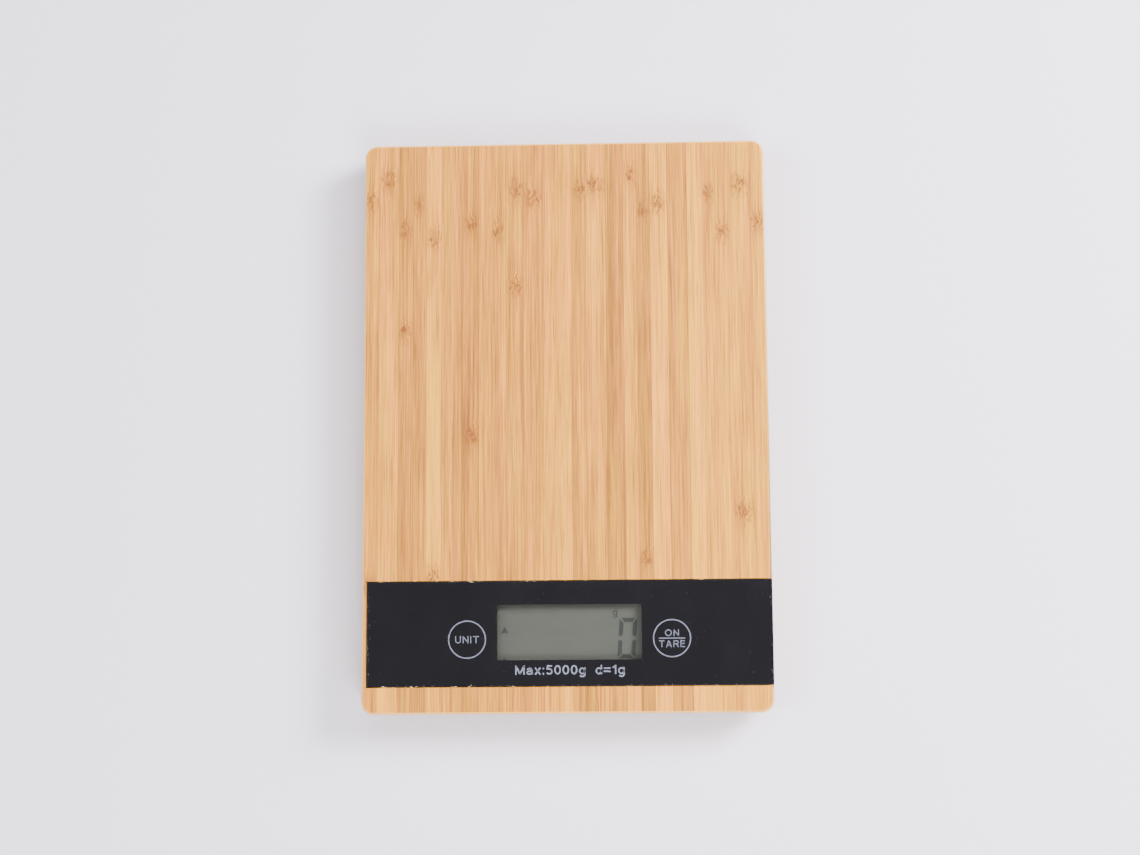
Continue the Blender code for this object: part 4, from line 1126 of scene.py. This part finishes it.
def footPad():
    look = footLook
    rubber = paints["footRubber"]
    low, high = boxOf("foot_pad_front_left")
    radius = (high.x - low.x) / 2
    sole = look["ridgeHeight"]
    profile = [(0.0, high.z), (radius - 0.2 * mm, high.z), (radius, high.z - 0.2 * mm)]
    profile += arc(radius - 0.4 * mm, sole + 0.4 * mm, 0.4 * mm, 0, -90, 5)
    edge = radius - 0.7 * mm
    for i in range(look["ridges"]):
        r = edge - i * look["ridgePitch"]
        profile += [(r, sole), (r - 0.16 * mm, 0.06 * mm), (r - 0.30 * mm, 0.0), (r - 0.46 * mm, 0.0),
                    (r - 0.60 * mm, 0.06 * mm), (r - 0.76 * mm, sole)]
    profile += [(0.0, sole)]
    pad = turnedPiece("footPad", profile, rubber, 72, 50)
    values = {"Outer Ring": look["outerRing"], "Inner Ring": look["innerRing"],
              "Outer Count": look["outerNubs"], "Inner Count": look["innerNubs"],
              "Nub Size": look["nub"], "Nub Height": sole}
    pad = grownOn(pad, nubTree(rubber), values)
    pad.data.shade_smooth()
    pad.data.set_sharp_from_angle(angle=math.radians(50))
    return pad


def feet():
    cup, pad = footCup(), footPad()
    for corner, place in footPlaces.items():
        for made, node, slot in ((cup, "foot_cup", "black_plastic"), (pad, "foot_pad", "foot_rubber")):
            one = placed(copyOf(f"{made.name}{sideOf(corner)}", made), place.x, place.y)
            finish(one, f"foot_{corner}", [f"{node}_{corner}"])
    for made in (cup, pad):
        bpy.data.objects.remove(made, do_unlink=True)


cover = fromNode("bottomCover", "bottom_cover", paints["blackPlastic"], sharpAngle=30)
finish(cover, "platform", ["bottom_cover"])
screws()
batteryLid()
feet()
print("underside is made")


# inside: springs, batteries, load cells and leads

insideLook = {
    "springTurns": 4.0, "wire": 0.5 * mm,
    "batteryNub": 3.8 * mm, "batteryNubLength": 1.0 * mm, "batteryRim": 0.45 * mm,
}


def springTree(material):
    inputs = {"Coil Radius": 0.002, "Length": 0.006, "Turns": 4.0, "Wire": 0.0005}
    tree, given, output = nodeTree("coil spring", inputs)
    coil = put(tree, "GeometryNodeCurveSpiral", {
        "Resolution": 28, "Rotations": given["Turns"], "Start Radius": given["Coil Radius"],
        "End Radius": given["Coil Radius"], "Height": given["Length"]}).outputs[0]
    end = put(tree, "GeometryNodeCurvePrimitiveCircle", {"Resolution": 28, "Radius": given["Coil Radius"]})
    lift = vectorOf(tree, z=given["Length"])
    far = put(tree, "GeometryNodeTransform", {"Geometry": end.outputs[0], "Translation": lift}).outputs[0]
    route = put(tree, "GeometryNodeJoinGeometry")
    for part in (coil, end.outputs[0], far):
        tree.links.new(part, route.inputs[0])
    section = put(tree, "GeometryNodeCurvePrimitiveCircle",
                  {"Resolution": 10, "Radius": times(tree, given["Wire"], 0.5)}).outputs[0]
    swept = put(tree, "GeometryNodeCurveToMesh", {"Curve": route.outputs[0], "Profile Curve": section,
                                                 "Fill Caps": True}).outputs[0]
    smooth = put(tree, "GeometryNodeSetShadeSmooth", {"Geometry": swept}).outputs[0]
    endTree(tree, smooth, material, output)
    return tree


def springs():
    tree = springTree(paints["nickel"])
    wire = insideLook["wire"]
    for node, name in (("touch_spring_unit", "touchSpringUnit"), ("touch_spring_tare", "touchSpringTare"),
                       ("battery_spring_front", "batterySpringFront"),
                       ("battery_spring_back", "batterySpringBack")):
        low, high = boxOf(node)
        size, middle = high - low, (low + high) / 2
        upright = node.startswith("touch")
        length = (size.z if upright else size.x) - wire
        values = {"Coil Radius": (size.y - wire) / 2, "Length": length, "Turns": insideLook["springTurns"],
                  "Wire": wire}
        made = grown(name, tree, values)
        if upright:
            placed(made, middle.x, middle.y, low.z + wire / 2)
        else:
            placed(made, low.x + wire / 2, middle.y, middle.z, Matrix.Rotation(math.radians(90), 4, "Y"))
        finish(made, "platform", [node])


def batteries():
    look = insideLook
    for node, name, turn in (("battery_front", "batteryFront", 90), ("battery_back", "batteryBack", -90)):
        low, high = boxOf(node)
        length, radius = high.x - low.x, (high.z - low.z) / 2
        body, rim, nub = length - look["batteryNubLength"], look["batteryRim"], look["batteryNub"] / 2
        profile = [(0.0, length)]
        profile += arc(nub - 0.3 * mm, length - 0.3 * mm, 0.3 * mm, 90, 0, 4)
        profile += [(nub, body - 0.15 * mm), (radius * 0.72, body - 0.15 * mm), (radius * 0.76, body)]
        profile += arc(radius - rim, body - rim, rim, 90, 0, 4)
        profile += arc(radius - rim, rim, rim, 0, -90, 4)
        profile += [(radius * 0.80, 0.0), (radius * 0.76, 0.22 * mm), (radius * 0.5, 0.22 * mm),
                    (radius * 0.46, 0.06 * mm), (0.0, 0.06 * mm)]
        made = turnedPiece(name, profile, paints["batteryWrap"], 64)
        made.data.materials.append(paints["nickel"])
        for face in made.data.polygons:
            reach = face.center.to_2d().length
            if (face.center.z > body / 2 and reach < radius * 0.74) or (face.center.z < 1 * mm
                                                                         and reach < radius * 0.78):
                face.material_index = 1
        middle = (low + high) / 2
        spin = Matrix.Rotation(math.radians(turn), 4, "Y")
        placed(made, low.x if turn > 0 else high.x, middle.y, middle.z, spin)
        finish(made, "platform", [node])


def inside():
    steel, white, silicone = paints["plainSteel"], paints["whitePlastic"], paints["whiteSilicone"]
    for corner in corners:
        for name, node, material, slot in (
                ("loadCell", "load_cell", steel, "steel"),
                ("gaugeCoat", "gauge_coat", silicone, "white_silicone"),
                ("cellCarrier", "load_cell_carrier", white, "white_plastic"),
                ("cellLead", "load_cell_lead", paints["greyWire"], "grey_wire")):
            made = fromNode(f"{name}{sideOf(corner)}", f"{node}_{corner}", material, sharpAngle=50)
            finish(made, "platform", [f"{node}_{corner}"])
    for name, node, paint, slot in (("batteryLeadRed", "battery_lead_positive", "redWire", "red_wire"),
                                    ("batteryLeadBlack", "battery_lead_negative", "blackWire", "black_wire"),
                                    ("chipBlob", "chip_blob", "chipEpoxy", "epoxy")):
        finish(fromNode(name, node, paints[paint], sharpAngle=60), "platform", [node])
    for node in ("contact_link", "contact_positive", "contact_negative"):
        repaint(node, paints["nickel"])
    repaint("panel_tape", paints["blackTape"])
    repaint("lcd_holder", white)
    repaint("main_board", circuitMaterial())
    zebra = zebraMaterial()
    for node in ("zebra_strip_front", "zebra_strip_back"):
        repaint(node, zebra)


springs()
batteries()
inside()
print("inside is made")
